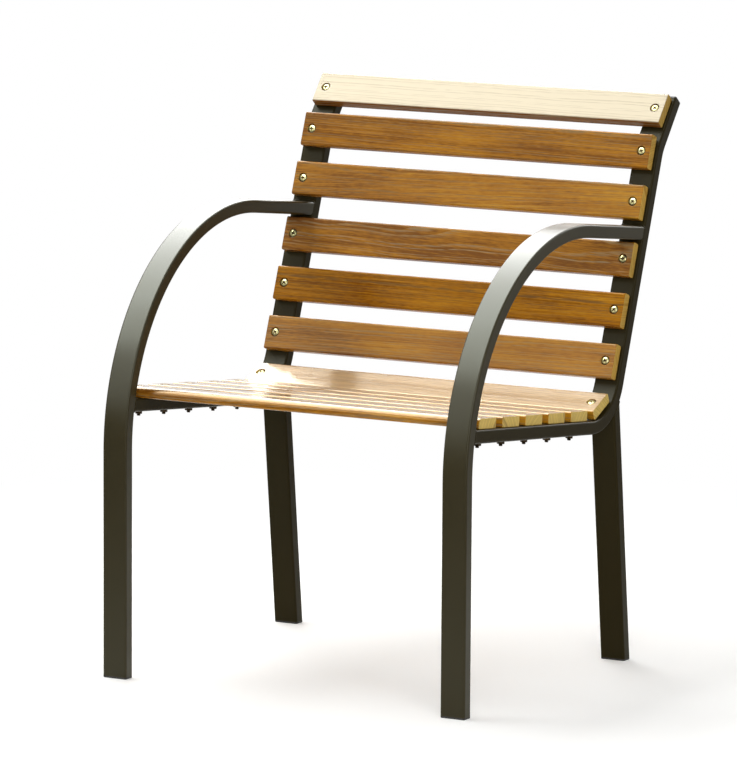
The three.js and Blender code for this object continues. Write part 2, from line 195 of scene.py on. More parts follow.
class ArmchairFinishes(bpy.types.PropertyGroup):
    """Colours of the finishes"""

    paint: colour("Powder coat", "Dark bronze-brown of the frames", "#2C2510")
    # The gloss's greenish cast is a painted reflection of green surroundings
    paint_gloss: colour("Powder coat gloss", "What bronze pigment gives the gloss seen square on",
                        "#E4EFE4")
    stain: colour("Stain", "Middle tone of the stained wood", "#A06810")
    stain_light: colour("Light stain", "Pale streaks between the rings", "#BA841C")
    stain_dark: colour("Dark stain", "Dense late wood", "#6E3E06")
    pore: colour("Pores", "Brown of the open pores", "#4E3414")
    # This grey is partly dust and partly a painted sheen in the pores
    pore_dust_and_sheen: colour("Dusty pores", "Grey of pores that dust has filled", "#8E7E60")
    # This paleness is partly sun bleaching and partly a painted sheen
    bleached_and_sheen: colour("Bleached wood", "The head slat, where sun has taken the stain", "#D6CEB8")
    end_grain: colour("End grain", "Straw tone of the sawn ends", "#CDB05C")
    end_ring: colour("End rings", "Rings on the sawn ends", "#8E7030")
    zinc: colour("Zinc", "Yellow-passivated zinc", "#BDB284")
    zinc_green: colour("Zinc tint", "Greenish cast of the passivation", "#8E9262")
    # Besides tarnish, this colour darkens recesses and rims as painted shade
    grime: colour("Grime", "Dirt in and round a bolt's head, and tarnish", "#38281A")
    plastic: colour("Plastic", "Black polyethylene of the caps", "#1B1A17")
    floor: colour("Floor", "Pale studio floor", "#F4F4F2")


class ArmchairStage(bpy.types.PropertyGroup):
    """The camera, floor and lights"""

    camera: FloatVectorProperty(
        name="Camera", description="The camera's place, with y from the front legs",
        default=(4.3438, -7.5151, 1.7882), subtype="XYZ", unit="LENGTH")
    yaw: angle("Yaw", "The camera's heading, from +Y towards -X", 29.199)
    pitch: angle("Pitch", "How far down the camera looks", 8.645)
    roll: angle("Roll", "The camera's turn about its own line of sight", 0.37)
    lens: length("Lens", "Focal length for the sensor's larger side of 36 mm", 285.45)
    floor_radius: length("Floor radius", "Radius of the floor", 9000)
    bank: amount("Overhead bank", "Radiance of the large softbox above", 4.5)
    gloss: amount("Overhead gloss", "What a softbox above adds in reflections only", 7.0)
    front_gloss: amount("Front gloss", "The same further to the front", 9.0)
    back_gloss: amount("Back gloss", "The same behind, lower down", 5.5)
    fill: amount("Front fill", "Radiance of the softbox in front", 2.8)
    front_wall: amount("Front wall", "Brightness of the room's front side in reflections", 0.3)
    floor_gloss: amount("Floor in reflections", "Brightness of the floor behind in reflections", 0.35)
    near_gloss: amount("Near gloss", "What a small panel in front adds on the nose, in reflections", 2.4)
    rim_gloss: amount("Rim gloss", "What a panel behind adds along rounded edges, in reflections", 7.0)
    sky: amount("Room light", "Strength of the room's even light", 0.42)
    floor_lift: amount("Floor lift", "How much the floor glows to the camera", 0.2)


class ArmchairSettings(bpy.types.PropertyGroup):
    """All settings of the armchair"""

    frame: PointerProperty(type=ArmchairFrameSizes)
    slats: PointerProperty(type=ArmchairSlatSizes)
    fasteners: PointerProperty(type=ArmchairFastenerSizes)
    caps: PointerProperty(type=ArmchairCapSizes)
    finishes: PointerProperty(type=ArmchairFinishes)
    stage: PointerProperty(type=ArmchairStage)


# Setting out in the side view

Line = namedtuple("Line", "at heading mitre")
Place = namedtuple("Place", "name at heading")

# Slats on the straight of the rail, and as many on the straight of the upright
STRAIGHT_SLATS = 5
SLATS_BELOW_ARM = 3


def along_out(at, heading, along, out):
    """A point along a heading from another, and out from it towards the sitter."""
    return at + (along + 1j * out) * np.exp(1j * heading)


def seen_from(at, heading, points):
    """Points as seen from a place: how far along its heading and, times i, how far out."""
    return (points - at) * np.exp(-1j * heading)


def corner_beside(corner, before, after, out):
    """The corner of two lines drawn beside a given pair, at a distance towards the sitter."""
    return along_out(corner, (before + after) / 2, 0, out / np.cos((after - before) / 2))


def bend(corner, before, after, radius):
    """A bend's stations: each stands a radius from the bend's centre, square to its own heading."""
    out = np.sign(after - before) * radius
    centre = corner_beside(corner, before, after, out)
    count = int(np.ceil(abs(after - before) / BEND_STEP)) + 1
    heading = np.linspace(before, after, count)
    return along_out(centre, heading, 0, -out), heading


def line(*parts):
    """A tube's centreline from parts of (points, headings); a mitre turns a section on its station."""
    at = np.concatenate([np.atleast_1d(at) for at, _ in parts])
    heading = np.concatenate([np.broadcast_to(heading, np.shape(np.atleast_1d(at)))
                              for at, heading in parts])
    return Line(at, heading, np.zeros(len(at)))


class SideView:
    """The lines of one side frame and the places of the slats, worked out from the settings."""

    def __init__(self, settings):
        sizes = self.sizes = settings.frame
        self.slats = settings.slats
        self.cap_rim = settings.caps.rim
        self.half_depth = sizes.tube_depth / 2
        self.seat = -sizes.seat_slope
        self.back = np.pi / 2 - sizes.back_lean
        self.head = np.pi / 2 - sizes.head_lean
        fall = sizes.seat_depth * np.tan(sizes.seat_slope)
        self.front = complex(FRONT, sizes.seat_height)
        self.seat_corner = self.front + complex(sizes.seat_depth, -fall)
        self.head_corner = along_out(self.seat_corner, self.back, sizes.back_length, 0)
        self.arm = self.arm_line()
        self.rail = self.rail_line()
        self.rear_leg = self.rear_leg_line()

    def back_slat_start(self, index):
        """How far up the back a slat begins; the gap that the arm meets is wider."""
        slats = self.slats
        return slats.back_start + index * slats.back_pitch + (index >= SLATS_BELOW_ARM) * slats.arm_gap

    def arm_line(self):
        """Up from the foot, over one long bend and back to the upright, in the middle of its gap."""
        heading = -self.sizes.arm_slope
        low = self.back_slat_start(SLATS_BELOW_ARM - 1) + self.slats.width
        high = self.back_slat_start(SLATS_BELOW_ARM)
        end = along_out(self.seat_corner, self.back, (low + high) / 2, 0)
        leg = FRONT + self.half_depth
        corner = complex(leg, end.imag + (end.real - leg) * np.tan(self.sizes.arm_slope))
        made = line((complex(leg, self.cap_rim), np.pi / 2),
                    bend(corner, np.pi / 2, heading, self.sizes.arm_bend),
                    (end, heading))
        made.mitre[-1] = self.back - np.pi / 2 - heading
        return made

    def rail_line(self):
        """Back from the leg's rear face, up the back and over at the head."""
        sizes, beside = self.sizes, -self.half_depth
        low = corner_beside(self.seat_corner, self.seat, self.back, beside)
        high = corner_beside(self.head_corner, self.back, self.head, beside)
        start = along_out(self.front, self.seat, sizes.tube_depth, beside)
        end = along_out(self.head_corner, self.head, sizes.head_length, beside)
        return line((start, self.seat), bend(low, self.seat, self.back, sizes.seat_bend),
                    bend(high, self.back, self.head, sizes.head_bend), (end, self.head))

    def rear_leg_line(self):
        """Straight up from a level foot to the underside of the bend above it."""
        lean = self.sizes.rear_leg_lean
        heading = np.pi / 2 + lean
        foot = complex(FRONT + self.sizes.rear_foot, 0) + self.cap_rim * (1j - np.tan(lean))
        under = seen_from(foot, heading, self.face(self.rail, -1))
        order = np.argsort(under.imag)
        top = along_out(foot, heading, np.interp(0, under.imag[order], under.real[order]), 0)
        made = line((foot, heading), (top, heading))
        made.mitre[0] = -lean
        return made

    def face(self, run, side):
        """The face of a tube on the sitter's side, 1, or on the far side, -1."""
        return along_out(run.at, run.heading, 0, side * self.half_depth)

    def corner_place(self):
        """The last seat slat: both its lower edges touch the inside of the bend."""
        slats = self.slats
        inner = self.sizes.seat_bend - self.half_depth
        centre = corner_beside(self.seat_corner, self.seat, self.back, inner)
        reach = inner - slats.fit - slats.edge_radius
        half = slats.width / 2 - slats.edge_radius
        depth = np.sqrt(reach ** 2 - half ** 2) + slats.edge_radius
        return Place(f"seat_slat_{STRAIGHT_SLATS + 1}",
                     along_out(centre, slats.corner_tilt, 0, -depth), slats.corner_tilt)

    def slat_places(self):
        """The middle of each slat's underside: on the seat from the front, then up the back."""
        slats = self.slats
        half = slats.width / 2
        first = (slats.seat_start + half) / np.cos(self.seat)
        seat, back = [], []
        for i in range(STRAIGHT_SLATS):
            at = along_out(self.front, self.seat, first + i * slats.seat_pitch, slats.fit)
            seat.append(Place(f"seat_slat_{i + 1}", at, self.seat))
            at = along_out(self.seat_corner, self.back, self.back_slat_start(i) + half, slats.fit)
            back.append(Place(f"back_slat_{i + 1}", at, self.back))
        head = along_out(self.head_corner, self.head, slats.head_start + half, slats.fit)
        return [*seat, self.corner_place(), *back,
                Place(f"back_slat_{STRAIGHT_SLATS + 1}", head, self.head)]


def frame_middle(sizes):
    """How far to each side the middle of a side frame lies, and its bolts with it."""
    return (sizes.chair_width - sizes.tube_width) / 2


# Surfaces as grids of points


def quads(index):
    """The quads between neighbouring rows and columns of a table of point numbers."""
    corners = np.stack([index[:-1, :-1], index[:-1, 1:], index[1:, 1:], index[1:, :-1]], -1)
    return corners.reshape(-1, 4)


def grid_faces(rows, columns, close_rows=False):
    """The quads of a grid whose last column meets its first and, if asked, its last row its first."""
    index = np.arange(rows * columns).reshape(rows, columns)
    if close_rows:
        index = np.vstack([index, index[:1]])
    return quads(np.hstack([index, index[:, :1]]))


def corner_arcs(width, height, radii):
    """The four corners of a rounded rectangle, counter-clockwise from the first quadrant.

    Each corner is an arc about its own centre, with one more point on each neighbouring
    flat, a short lead away, which keeps the flats' shading flat. Returns points and
    outward normals, each (4, points, 2).
    """
    quarter = np.linspace(0, np.pi / 2, ARC_STEPS + 1)
    quadrants = np.array([[1, 1], [-1, 1], [-1, -1], [1, -1]])
    points, normals = [], []
    for number, (quadrant, radius) in enumerate(zip(quadrants, radii)):
        turn = number * np.pi / 2 + quarter
        out = np.stack([np.cos(turn), np.sin(turn)], -1)
        centre = quadrant * (np.array([width, height]) / 2 - radius)
        arc = centre + radius * out
        before = arc[:1] + SUPPORT * out[:1] @ np.array([[0, -1], [1, 0]])
        after = arc[-1:] + SUPPORT * out[-1:] @ np.array([[0, 1], [-1, 0]])
        points.append(np.vstack([before, arc, after]))
        normals.append(np.vstack([out[:1], out, out[-1:]]))
    return np.array(points), np.array(normals)


def rounded_outline(width, height, radius):
    """A rounded rectangle as one closed row of points, with its outward normals."""
    points, normals = corner_arcs(width, height, [radius] * 4)
    return points.reshape(-1, 2), normals.reshape(-1, 2)


def carried(outline, run, x):
    """An outline carried along a line: its x lies across the chair, and its y out of the line.

    Each station's section stands square to its heading or turned on by its mitre, and is
    stretched by the mitre's secant. Returns x and the side-view points, (stations, points).
    """
    across, out = outline.T
    lean = 1j * np.exp(1j * (run.heading + run.mitre)) / np.cos(run.mitre)
    side = run.at[:, None] + lean[:, None] * out
    return np.broadcast_to(x + across, side.shape).copy(), side


def space(x, side):
    """Points in space from x and side-view points."""
    return np.stack([x, side.real, side.imag], -1)


def slide_to(face, points, heading):
    """Slides side-view points along a heading until they lie on a face."""
    at = points.mean()
    local_face = seen_from(at, heading, face)
    local = seen_from(at, heading, points)
    order = np.argsort(local_face.imag)
    reach = np.interp(local.imag, local_face.imag[order], local_face.real[order])
    return along_out(at, heading, reach, local.imag)


def surface(name, points, faces, material, ends=(), attributes=None):
    """An object from points, quads and end faces.

    Values at the points are stored first. Then doubles are merged, loose points dropped and
    faces turned outward, and the shading is smooth between sharp edges.
    """
    mesh = bpy.data.meshes.new(name)
    mesh.from_pydata(np.reshape(points, (-1, 3)).tolist(), [], [*faces.tolist(), *ends])
    for key, values in (attributes or {}).items():
        kind, field = ("FLOAT_VECTOR", "vector") if np.ndim(values) > 1 else ("FLOAT", "value")
        stored = mesh.attributes.new(key, kind, "POINT")
        stored.data.foreach_set(field, np.ravel(values).astype(np.float32))
    shell = bmesh.new()
    shell.from_mesh(mesh)
    bmesh.ops.delete(shell, geom=[v for v in shell.verts if not v.link_faces], context="VERTS")
    bmesh.ops.remove_doubles(shell, verts=shell.verts, dist=MERGE)
    bmesh.ops.recalc_face_normals(shell, faces=shell.faces)
    shell.to_mesh(mesh)
    shell.free()
    mesh.shade_smooth()
    mesh.set_sharp_from_angle(angle=SHARP_ANGLE)
    mesh.materials.append(material)
    made = bpy.data.objects.new(name, mesh)
    bpy.context.scene.collection.objects.link(made)
    return made


def make_piece(piece, slot, *nodes):
    """Makes a surface a piece of the chair, in place of the CAD nodes that it shows."""
    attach(piece, BODY)
    if nodes:
        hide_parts(*nodes)


# Side frames

# Each powder coat's name, its specular level and how deep its colour is: behind the arms, on the
# rails, rear legs and welds, the deeper colour and lower gloss are painted shade
Coat = namedtuple("Coat", "name gloss depth")
ARM_COAT = Coat("satin_powder_coat", 0.3, 1.0)
RAIL_COAT = Coat("dulled_powder_coat", 0.07, 0.78)
# How much paler a coat is in its cloudy patches
PATCH_PALE = 1.12

# A weld's bead: the points along one ripple and round the bead, how much the ripples swell it,
# and how far out its middle lies in the corners above and below, as shares of its radius
RIPPLE_POINTS = 6
BEAD_POINTS = 16
RIPPLE_SHARE = 0.07
CORNER_SHARE = 0.1


def tube_piece(name, node, run, x, coat, settings, start_face=None, end_face=None):
    """One tube: its outline carried along its line, then back again along the bore, as one ring."""
    sizes = settings.frame
    wall = sizes.tube_wall
    outer, _ = rounded_outline(sizes.tube_width, sizes.tube_depth, sizes.tube_corner)
    bore, _ = rounded_outline(sizes.tube_width - 2 * wall, sizes.tube_depth - 2 * wall,
                              sizes.tube_corner - wall / 2)
    sweeps = [carried(outline, run, x) for outline in (outer, bore)]
    for _, side in sweeps:
        if start_face is not None:
            side[0] = slide_to(start_face, side[0], run.heading[0])
        if end_face is not None:
            side[-1] = slide_to(end_face, side[-1], run.heading[-1])
    points = np.concatenate([space(*sweeps[0]), space(*sweeps[1])[::-1]])
    faces = grid_faces(*points.shape[:2], close_rows=True)
    paint = finish(coat.name, powder_coat, settings, coat)
    make_piece(surface(name, points, faces, paint), "painted_steel", node)


def weld_piece(name, run, end, face, x, settings):
    """A weld bead round a tube's end.

    A small circle is carried round the end's outline. It stands out in the corners above and
    below, sinks almost flush on the sides, and swells and shrinks with the welder's ripples.
    """
    sizes = settings.frame
    radius = sizes.weld_radius
    outline, normals = rounded_outline(sizes.tube_width, sizes.tube_depth, sizes.tube_corner)
    outline, normals = (np.vstack([row, row[:1]]) for row in (outline, normals))
    walked = np.concatenate([[0], np.cumsum(np.hypot(*np.diff(outline, axis=0).T))])
    count = int(walked[-1] / sizes.weld_pitch) * RIPPLE_POINTS
    at = np.linspace(0, walked[-1], count, endpoint=False)
    outline, normals = (np.stack([np.interp(at, walked, part) for part in row.T], -1)
                        for row in (outline, normals))
    heading = run.heading[end]
    here = Line(run.at[[end]], run.heading[[end]], run.mitre[[end]])
    across, side = (row[0] for row in carried(outline, here, x))
    if face is not None:
        side = slide_to(face, side, heading)
    ripple = 1 + RIPPLE_SHARE * np.cos(2 * np.pi * at / sizes.weld_pitch)
    in_corner, flush = CORNER_SHARE * radius, sizes.weld_proud - radius
    centre = in_corner + (flush - in_corner) * np.abs(normals[:, 0])
    around = np.linspace(0, 2 * np.pi, BEAD_POINTS, endpoint=False)[:, None]
    out = centre + radius * ripple * np.cos(around)
    along = radius * ripple * np.sin(around)
    points = space(across + out * normals[:, 0],
                   side + (along + 1j * out * normals[:, 1]) * np.exp(1j * heading))
    faces = grid_faces(*points.shape[:2], close_rows=True)
    # The weld takes the rails' coat, whose deeper colour and lower gloss are painted shade
    paint = finish(RAIL_COAT.name, powder_coat, settings, RAIL_COAT)
    make_piece(surface(name, points, faces, paint), "painted_steel")


class ARMCHAIR_OT_side_frames(bpy.types.Operator):
    """Make the bent tubes of both side frames"""

    bl_idname = "armchair.side_frames"
    bl_label = "Side frames"

    def execute(self, context):
        settings = context.scene.armchair
        view = SideView(settings)
        for side, sign in SIDES.items():
            x = sign * frame_middle(settings.frame)
            tube_piece(f"arm_tube_{side}", f"{side}_arm_and_front_leg", view.arm, x, ARM_COAT, settings)
            tube_piece(f"rail_tube_{side}", f"{side}_seat_back_rail", view.rail, x, RAIL_COAT, settings,
                       start_face=view.face(view.arm, -1))
            tube_piece(f"rear_leg_tube_{side}", f"{side}_rear_leg", view.rear_leg, x, RAIL_COAT,
                       settings, end_face=view.face(view.rail, -1))
        return {"FINISHED"}


class ARMCHAIR_OT_welds(bpy.types.Operator):
    """Make the weld beads that join the tubes of each side frame"""

    bl_idname = "armchair.welds"
    bl_label = "Welds"

    def execute(self, context):
        settings = context.scene.armchair
        view = SideView(settings)
        for side, sign in SIDES.items():
            x = sign * frame_middle(settings.frame)
            weld_piece(f"weld_leg_rail_{side}", view.rail, 0, view.face(view.arm, -1), x, settings)
            weld_piece(f"weld_arm_upright_{side}", view.arm, -1, None, x, settings)
            weld_piece(f"weld_rear_leg_{side}", view.rear_leg, -1, view.face(view.rail, -1), x, settings)
        return {"FINISHED"}


# End caps

CAP_EASE = 0.3 * MM
PLUG_EASE = 1 * MM
LEAST_CORNER = 0.5 * MM
# How far in the rim's innermost row lies, in edge radii
FACE_INSET = 2.5
# A fin's rows: how far along, in its thicknesses, and whether they lie at its tip
FIN_ROWS = ((0, False), (0.4, True), (1, True), (1.6, False))


def cap_rows(caps):
    """A cap's rows as (inset from the tube's outside, height): rounded rim, then a finned plug."""
    turn = np.linspace(0, np.pi / 2, EDGE_STEPS + 1)
    face = [(FACE_INSET * caps.edge, 0), (caps.edge + SUPPORT, 0)]
    edge = list(zip(caps.edge * (1 - np.sin(turn)), caps.edge * (1 - np.cos(turn))))
    rim = [(0, caps.rim - CAP_EASE), (CAP_EASE, caps.rim), (caps.core, caps.rim)]
    end = caps.rim + caps.plug
    half_pitch = caps.fin_pitch / 2
    fins = [(caps.fin if at_tip else caps.core, start + share * caps.fin_thickness)
            for start in np.arange(caps.rim + half_pitch, end - half_pitch, caps.fin_pitch)
            for share, at_tip in FIN_ROWS]
    return face + edge + rim + fins + [(caps.core, end - PLUG_EASE), (caps.core + PLUG_EASE, end)]


def cap_piece(name, node, settings, at, x, inward, flat, stretch=1):
    """An end cap: rounded rectangles, each inset as its row says, stacked along the tube.

    Headings lead into the tube and along the cap's flat, and a stretch makes the tube's cut level.
    """
    sizes = settings.frame
    rows = []
    for inset, height in cap_rows(settings.caps):
        outline, _ = rounded_outline(sizes.tube_width - 2 * inset, sizes.tube_depth - 2 * inset,
                                     max(sizes.tube_corner - inset, LEAST_CORNER))
        across, out = outline.T
        side = at + stretch * (height * np.exp(1j * inward) + out * np.exp(1j * flat))
        rows.append(space(x + across, side))
    count, around = len(rows), len(rows[0])
    ends = [list(range(around)), list(range((count - 1) * around, count * around))]
    plastic = finish("moulded_black_polyethylene", moulded_plastic, settings)
    make_piece(surface(name, rows, grid_faces(count, around), plastic, ends), "black_plastic", node)


class ARMCHAIR_OT_end_caps(bpy.types.Operator):
    """Make the plastic caps in the feet and in the open tops of the uprights"""

    bl_idname = "armchair.end_caps"
    bl_label = "End caps"

    def execute(self, context):
        settings = context.scene.armchair
        sizes = settings.frame
        view = SideView(settings)
        lean = sizes.rear_leg_lean
        top = along_out(view.rail.at[-1], view.head, settings.caps.rim, 0)
        front = complex(FRONT + view.half_depth, 0)
        rear = complex(FRONT + sizes.rear_foot, 0)
        for side, sign in SIDES.items():
            x = sign * frame_middle(sizes)
            cap_piece(f"foot_cap_front_{side}", f"{side}_front_foot_cap", settings, front, x,
                      inward=np.pi / 2, flat=np.pi)
            cap_piece(f"foot_cap_rear_{side}", f"{side}_rear_foot_cap", settings, rear, x,
                      inward=np.pi / 2 + lean, flat=np.pi, stretch=1 / np.cos(lean))
            cap_piece(f"upright_cap_{side}", f"{side}_top_cap", settings, top, x,
                      inward=view.head + np.pi, flat=view.head + np.pi / 2)
        return {"FINISHED"}


# Slats

# Each bolt's hole is cut in a square patch of the skin, so many cells wide and reaching so far
# from the bolt's axis
HOLE_CELLS = 10
HOLE_PATCH = 10 * MM
MIDDLE_STATIONS = 8
RIM_EASE = 0.5 * MM
STEP_EASE = 0.3 * MM

# How much painted shade darkens the stain in the counterbores, and towards the end on the sitter's right
BORE_PAINTED_SHADE = 1.4
END_PAINTED_SHADE = 0.26
# Below the top, bleaching and its painted sheen fade out over so much, and the bores' painted shade
# reaches so far past them
BLEACH_DEPTH = 1 * MM
BORE_MARGIN = 0.1 * MM

# How each slat was sawn: how far its pith lay beside and below it, in mm, how askew it ran,
# how much its rings wave, how dark the stain took, how far the sun has bleached it with a painted
# sheen on top, and how grey its pores are from dust and a painted sheen
Sawn = namedtuple("Sawn", "beside below skew wave tone bleach dust")
SAWN = {
    "seat_slat_1": Sawn(85, 30, 0.010, 0.6, 0.35, 0.30, 0.6),
    "seat_slat_2": Sawn(-70, 45, -0.012, 0.7, 0.28, 0.18, 0.5),
    "seat_slat_3": Sawn(60, 60, 0.016, 0.9, 0.15, 0.26, 0.7),
    "seat_slat_4": Sawn(-95, 25, 0.008, 0.5, 0.32, 0.20, 0.5),
    "seat_slat_5": Sawn(75, 50, -0.015, 0.8, 0.12, 0.32, 0.7),
    "seat_slat_6": Sawn(-80, 40, 0.012, 0.7, -0.15, 0.36, 0.3),
    "back_slat_1": Sawn(62, 58, -0.014, 1.1, 0.37, 0.07, 1.0),
    "back_slat_2": Sawn(-110, 22, 0.006, 0.4, 0.50, 0.0, 0.15),
    "back_slat_3": Sawn(34, 62, 0.040, 1.8, 0.69, 0.03, 1.0),
    "back_slat_4": Sawn(48, 50, -0.050, 1.2, 0.33, 0.04, 0.5),
    "back_slat_5": Sawn(-90, 35, 0.012, 0.7, 0.58, 0.02, 0.5),
    "back_slat_6": Sawn(70, 48, 0.015, 0.8, 1.25, 1.0, 0.8),
}
# The slats come from places this many metres apart in one endless log
LOG_LENGTH = 40

# Each varnish's name, its specular level, the amber cast of its gloss seen square on, its
# roughness and how far it stained the sawn ends: the seat keeps its gloss, and the back, which
# stands in the weather, has gone satin
Varnish = namedtuple("Varnish", "name gloss cast roughness end_stain")
VARNISH = {
    "seat": Varnish("gloss_varnished_ash", 0.6, "#F8E0B0", 0.13, 0.0),
    "back": Varnish("satin_varnished_ash", 0.13, "#F2CE8A", 0.17, 0.45),
}


def hole_ring():
    """Columns and rows of the border of a square patch, counter-clockwise from its far corner."""
    up = np.arange(HOLE_CELLS)
    down = HOLE_CELLS - up
    full, none = np.full(HOLE_CELLS, HOLE_CELLS), np.zeros(HOLE_CELLS, int)
    return np.concatenate([down, none, up, full]), np.concatenate([full, down, none, up])


def slat_outline(slats, nose):
    """A slat's section: rounded corners, and evenly spaced points on top and below for the holes."""
    radii = [slats.edge_radius, nose, slats.edge_radius, slats.edge_radius]
    corners, out = corner_arcs(slats.width, slats.thickness, radii)
    patch = np.linspace(HOLE_PATCH, -HOLE_PATCH, HOLE_CELLS + 1)
    top = np.stack([patch, np.full_like(patch, slats.thickness / 2)], -1)
    flat = np.zeros_like(top) + [0, 1]
    points = np.vstack([corners[0], top, corners[1], corners[2], -top, corners[3]])
    normals = np.vstack([out[0], flat, out[1], out[2], -flat, out[3]])
    first_top = len(corners[0])
    first_below = first_top + len(top) + 2 * len(corners[0])
    return points + [0, slats.thickness / 2], normals, first_top, first_below


def slat_stations(slats, slat_length, bolt_x):
    """Stations along a slat as (x, inset): eased ends, and evenly spaced ones past each hole."""
    turn = np.linspace(0, np.pi / 2, EDGE_STEPS + 1)
    ease = slats.end_radius
    half = slat_length / 2
    end = np.stack([half - ease * (1 - np.cos(turn)), ease * (1 - np.sin(turn))], -1)
    end = np.vstack([[half, ease + SUPPORT], end, [half - ease - SUPPORT, 0]])
    hole = np.linspace(bolt_x + HOLE_PATCH, bolt_x - HOLE_PATCH, HOLE_CELLS + 1)
    middle = np.linspace(bolt_x - HOLE_PATCH, 0, MIDDLE_STATIONS)[1:]
    right = np.concatenate([hole, middle])
    right = np.vstack([end, np.stack([right, np.zeros_like(right)], -1)])
    left = right[:-1] * [-1, 1]
    stations = np.vstack([left, right[::-1]])
    return stations, [len(end), len(stations) - len(end) - HOLE_CELLS - 1]


def slat_rings(slats, fasteners):
    """The rows of a bolt's hole, (radius, height): eased rim, counterbore, step, bore and exit."""
    recess, hole = fasteners.counterbore / 2, fasteners.hole / 2
    top, floor = slats.thickness, slats.thickness - fasteners.counterbore_depth
    turn = np.linspace(0, np.pi / 2, EDGE_STEPS)
    rim = np.stack([recess + RIM_EASE * (1 - np.sin(turn)), top - RIM_EASE * (1 - np.cos(turn))], -1)
    rest = [(recess, floor + STEP_EASE), (recess - STEP_EASE, floor), (hole + STEP_EASE, floor),
            (hole, floor - STEP_EASE), (hole, STEP_EASE), (hole + STEP_EASE, 0)]
    return np.vstack([[recess + RIM_EASE + SUPPORT, top], rim, rest, [hole + STEP_EASE + SUPPORT, 0]])


def slat_surface(settings, nose, bolt_x):
    """A slat lying along X on zero height: points in x, across and up, then quads and end faces.

    The section is carried from end to end. Round each bolt a square patch of that skin is
    left out above and below, and rings of points lead from the upper patch's border down the
    counterbore and bore to the lower one's.
    """
    slats = settings.slats
    section, normals, first_top, first_below = slat_outline(slats, nose)
    stations, starts = slat_stations(slats, settings.frame.chair_width - 2 * slats.inset, bolt_x)
    x, inset = stations.T
    ring = section - inset[:, None, None] * normals
    skin = np.dstack([np.broadcast_to(x[:, None], ring.shape[:2]), ring])
    rows, columns = skin.shape[:2]
    number = np.arange(rows * columns).reshape(rows, columns)
    kept = np.ones((rows - 1, columns), bool)
    for start in starts:
        for first in (first_top, first_below):
            kept[start:start + HOLE_CELLS, first:first + HOLE_CELLS] = False
    faces = [grid_faces(rows, columns)[kept.ravel()]]
    points = [skin.reshape(-1, 3)]
    total = rows * columns
    ring_x, ring_y = hole_ring()
    angles = np.pi / 4 + np.linspace(0, 2 * np.pi, len(ring_x), endpoint=False)
    radius, height = slat_rings(slats, settings.fasteners).T[:, :, None]
    for start, middle in zip(starts, (-bolt_x, bolt_x)):
        tube = np.stack(np.broadcast_arrays(middle + radius * np.cos(angles), radius * np.sin(angles),
                                            height), -1)
        inner = total + np.arange(tube[..., 0].size).reshape(tube.shape[:2])
        above = number[start + ring_x, first_top + HOLE_CELLS - ring_y]
        below = number[start + ring_x, first_below + ring_y]
        rings = np.vstack([above, inner, below])
        faces.append(quads(np.hstack([rings, rings[:, :1]])))
        points.append(tube.reshape(-1, 3))
        total += inner.size
    return np.vstack(points), np.vstack(faces), [number[0].tolist(), number[-1].tolist()]


def log_coordinates(local, sawn, random):
    """Where a slat's points lay in the log: along it, and from its pith in two directions.

    The pith runs a little askew below the slat, so that the rings come to the surface in long
    arches or, where it lies far to one side, in straight lines.
    """
    along, across, up = local.T
    shift = random.uniform(0, LOG_LENGTH)
    return np.stack([along + shift, across - sawn.beside * MM + sawn.skew * along,
                     up + sawn.below * MM + sawn.skew / 2 * along], -1)


def slat_figure(local, sawn, slats, bolt_x, recess):
    """A slat's stain with painted shade, its bleaching with a painted sheen, and its waviness at its
    points.

    Painted shade darkens the bores and deepens the stain from the middle towards the end on the
    sitter's right. Only the top is bleached, and its paleness is partly a painted sheen.
    """
    along, across, up = local.T
    from_bolt = np.hypot(np.abs(along) - bolt_x, across)
    sunk = np.clip((slats.thickness - up) / BLEACH_DEPTH, 0, 1)
    # Painted shade: the counterbores, and the end on the sitter's right
    bore = sunk * (from_bolt < recess + BORE_MARGIN)
    end_shade = np.clip(-along / bolt_x, 0, 1)
    return np.stack([sawn.tone + END_PAINTED_SHADE * end_shade + BORE_PAINTED_SHADE * bore, sawn.bleach * (1 - sunk),
                     np.full_like(up, sawn.wave)], -1)


class ARMCHAIR_OT_slats(bpy.types.Operator):
    """Make the twelve counterbored slats of seat and back"""

    bl_idname = "armchair.slats"
    bl_label = "Slats"

    def execute(self, context):
        settings = context.scene.armchair
        slats = settings.slats
        random = np.random.default_rng(SEED)
        bolt_x = frame_middle(settings.frame)
        for place in SideView(settings).slat_places():
            nose = slats.nose_radius if place.name == "seat_slat_1" else slats.edge_radius
            local, faces, ends = slat_surface(settings, nose, bolt_x)
            side = along_out(place.at, place.heading, local[:, 1], local[:, 2])
            sawn = SAWN[place.name]
            attributes = {
                "log": log_coordinates(local, sawn, random),
                "figure": slat_figure(local, sawn, slats, bolt_x, settings.fasteners.counterbore / 2),
                "dust": np.full(len(local), sawn.dust),
            }
            part, _, number = place.name.split("_")
            wood = finish(VARNISH[part].name, varnished_ash, settings, VARNISH[part])
            board = surface(f"{part}_board_{number}", space(local[:, 0], side), faces, wood, ends,
                            attributes)
            make_piece(board, "varnished_wood", place.name)
        return {"FINISHED"}


# Bolts and nuts

BOLT_AROUND = 96
NUT_AROUND = 72
# Rows over the recess and a little past it, from there to the head's edge, and in one pitch
HEAD_ROWS = 20
PAST_RECESS = 0.3 * MM
RIM_ROWS = 9
PITCH_ROWS = 8

# Easing of the head's edge, of its seat and of the shank below it, and of a nut's bore
HEAD_EASE = 0.25 * MM
SHANK_EASE = 0.3 * MM
NUT_EASE = 0.4 * MM
# How many pitches of thread show above the nut, and how long the tip's chamfer is, in pitches
THREAD_ABOVE = 3
TIP_CHAMFER = 0.8
# The thread's wave is steepened and clipped, which leaves narrow flats on crests and in roots
THREAD_STEEP, THREAD_FLAT = 1.25, 0.12
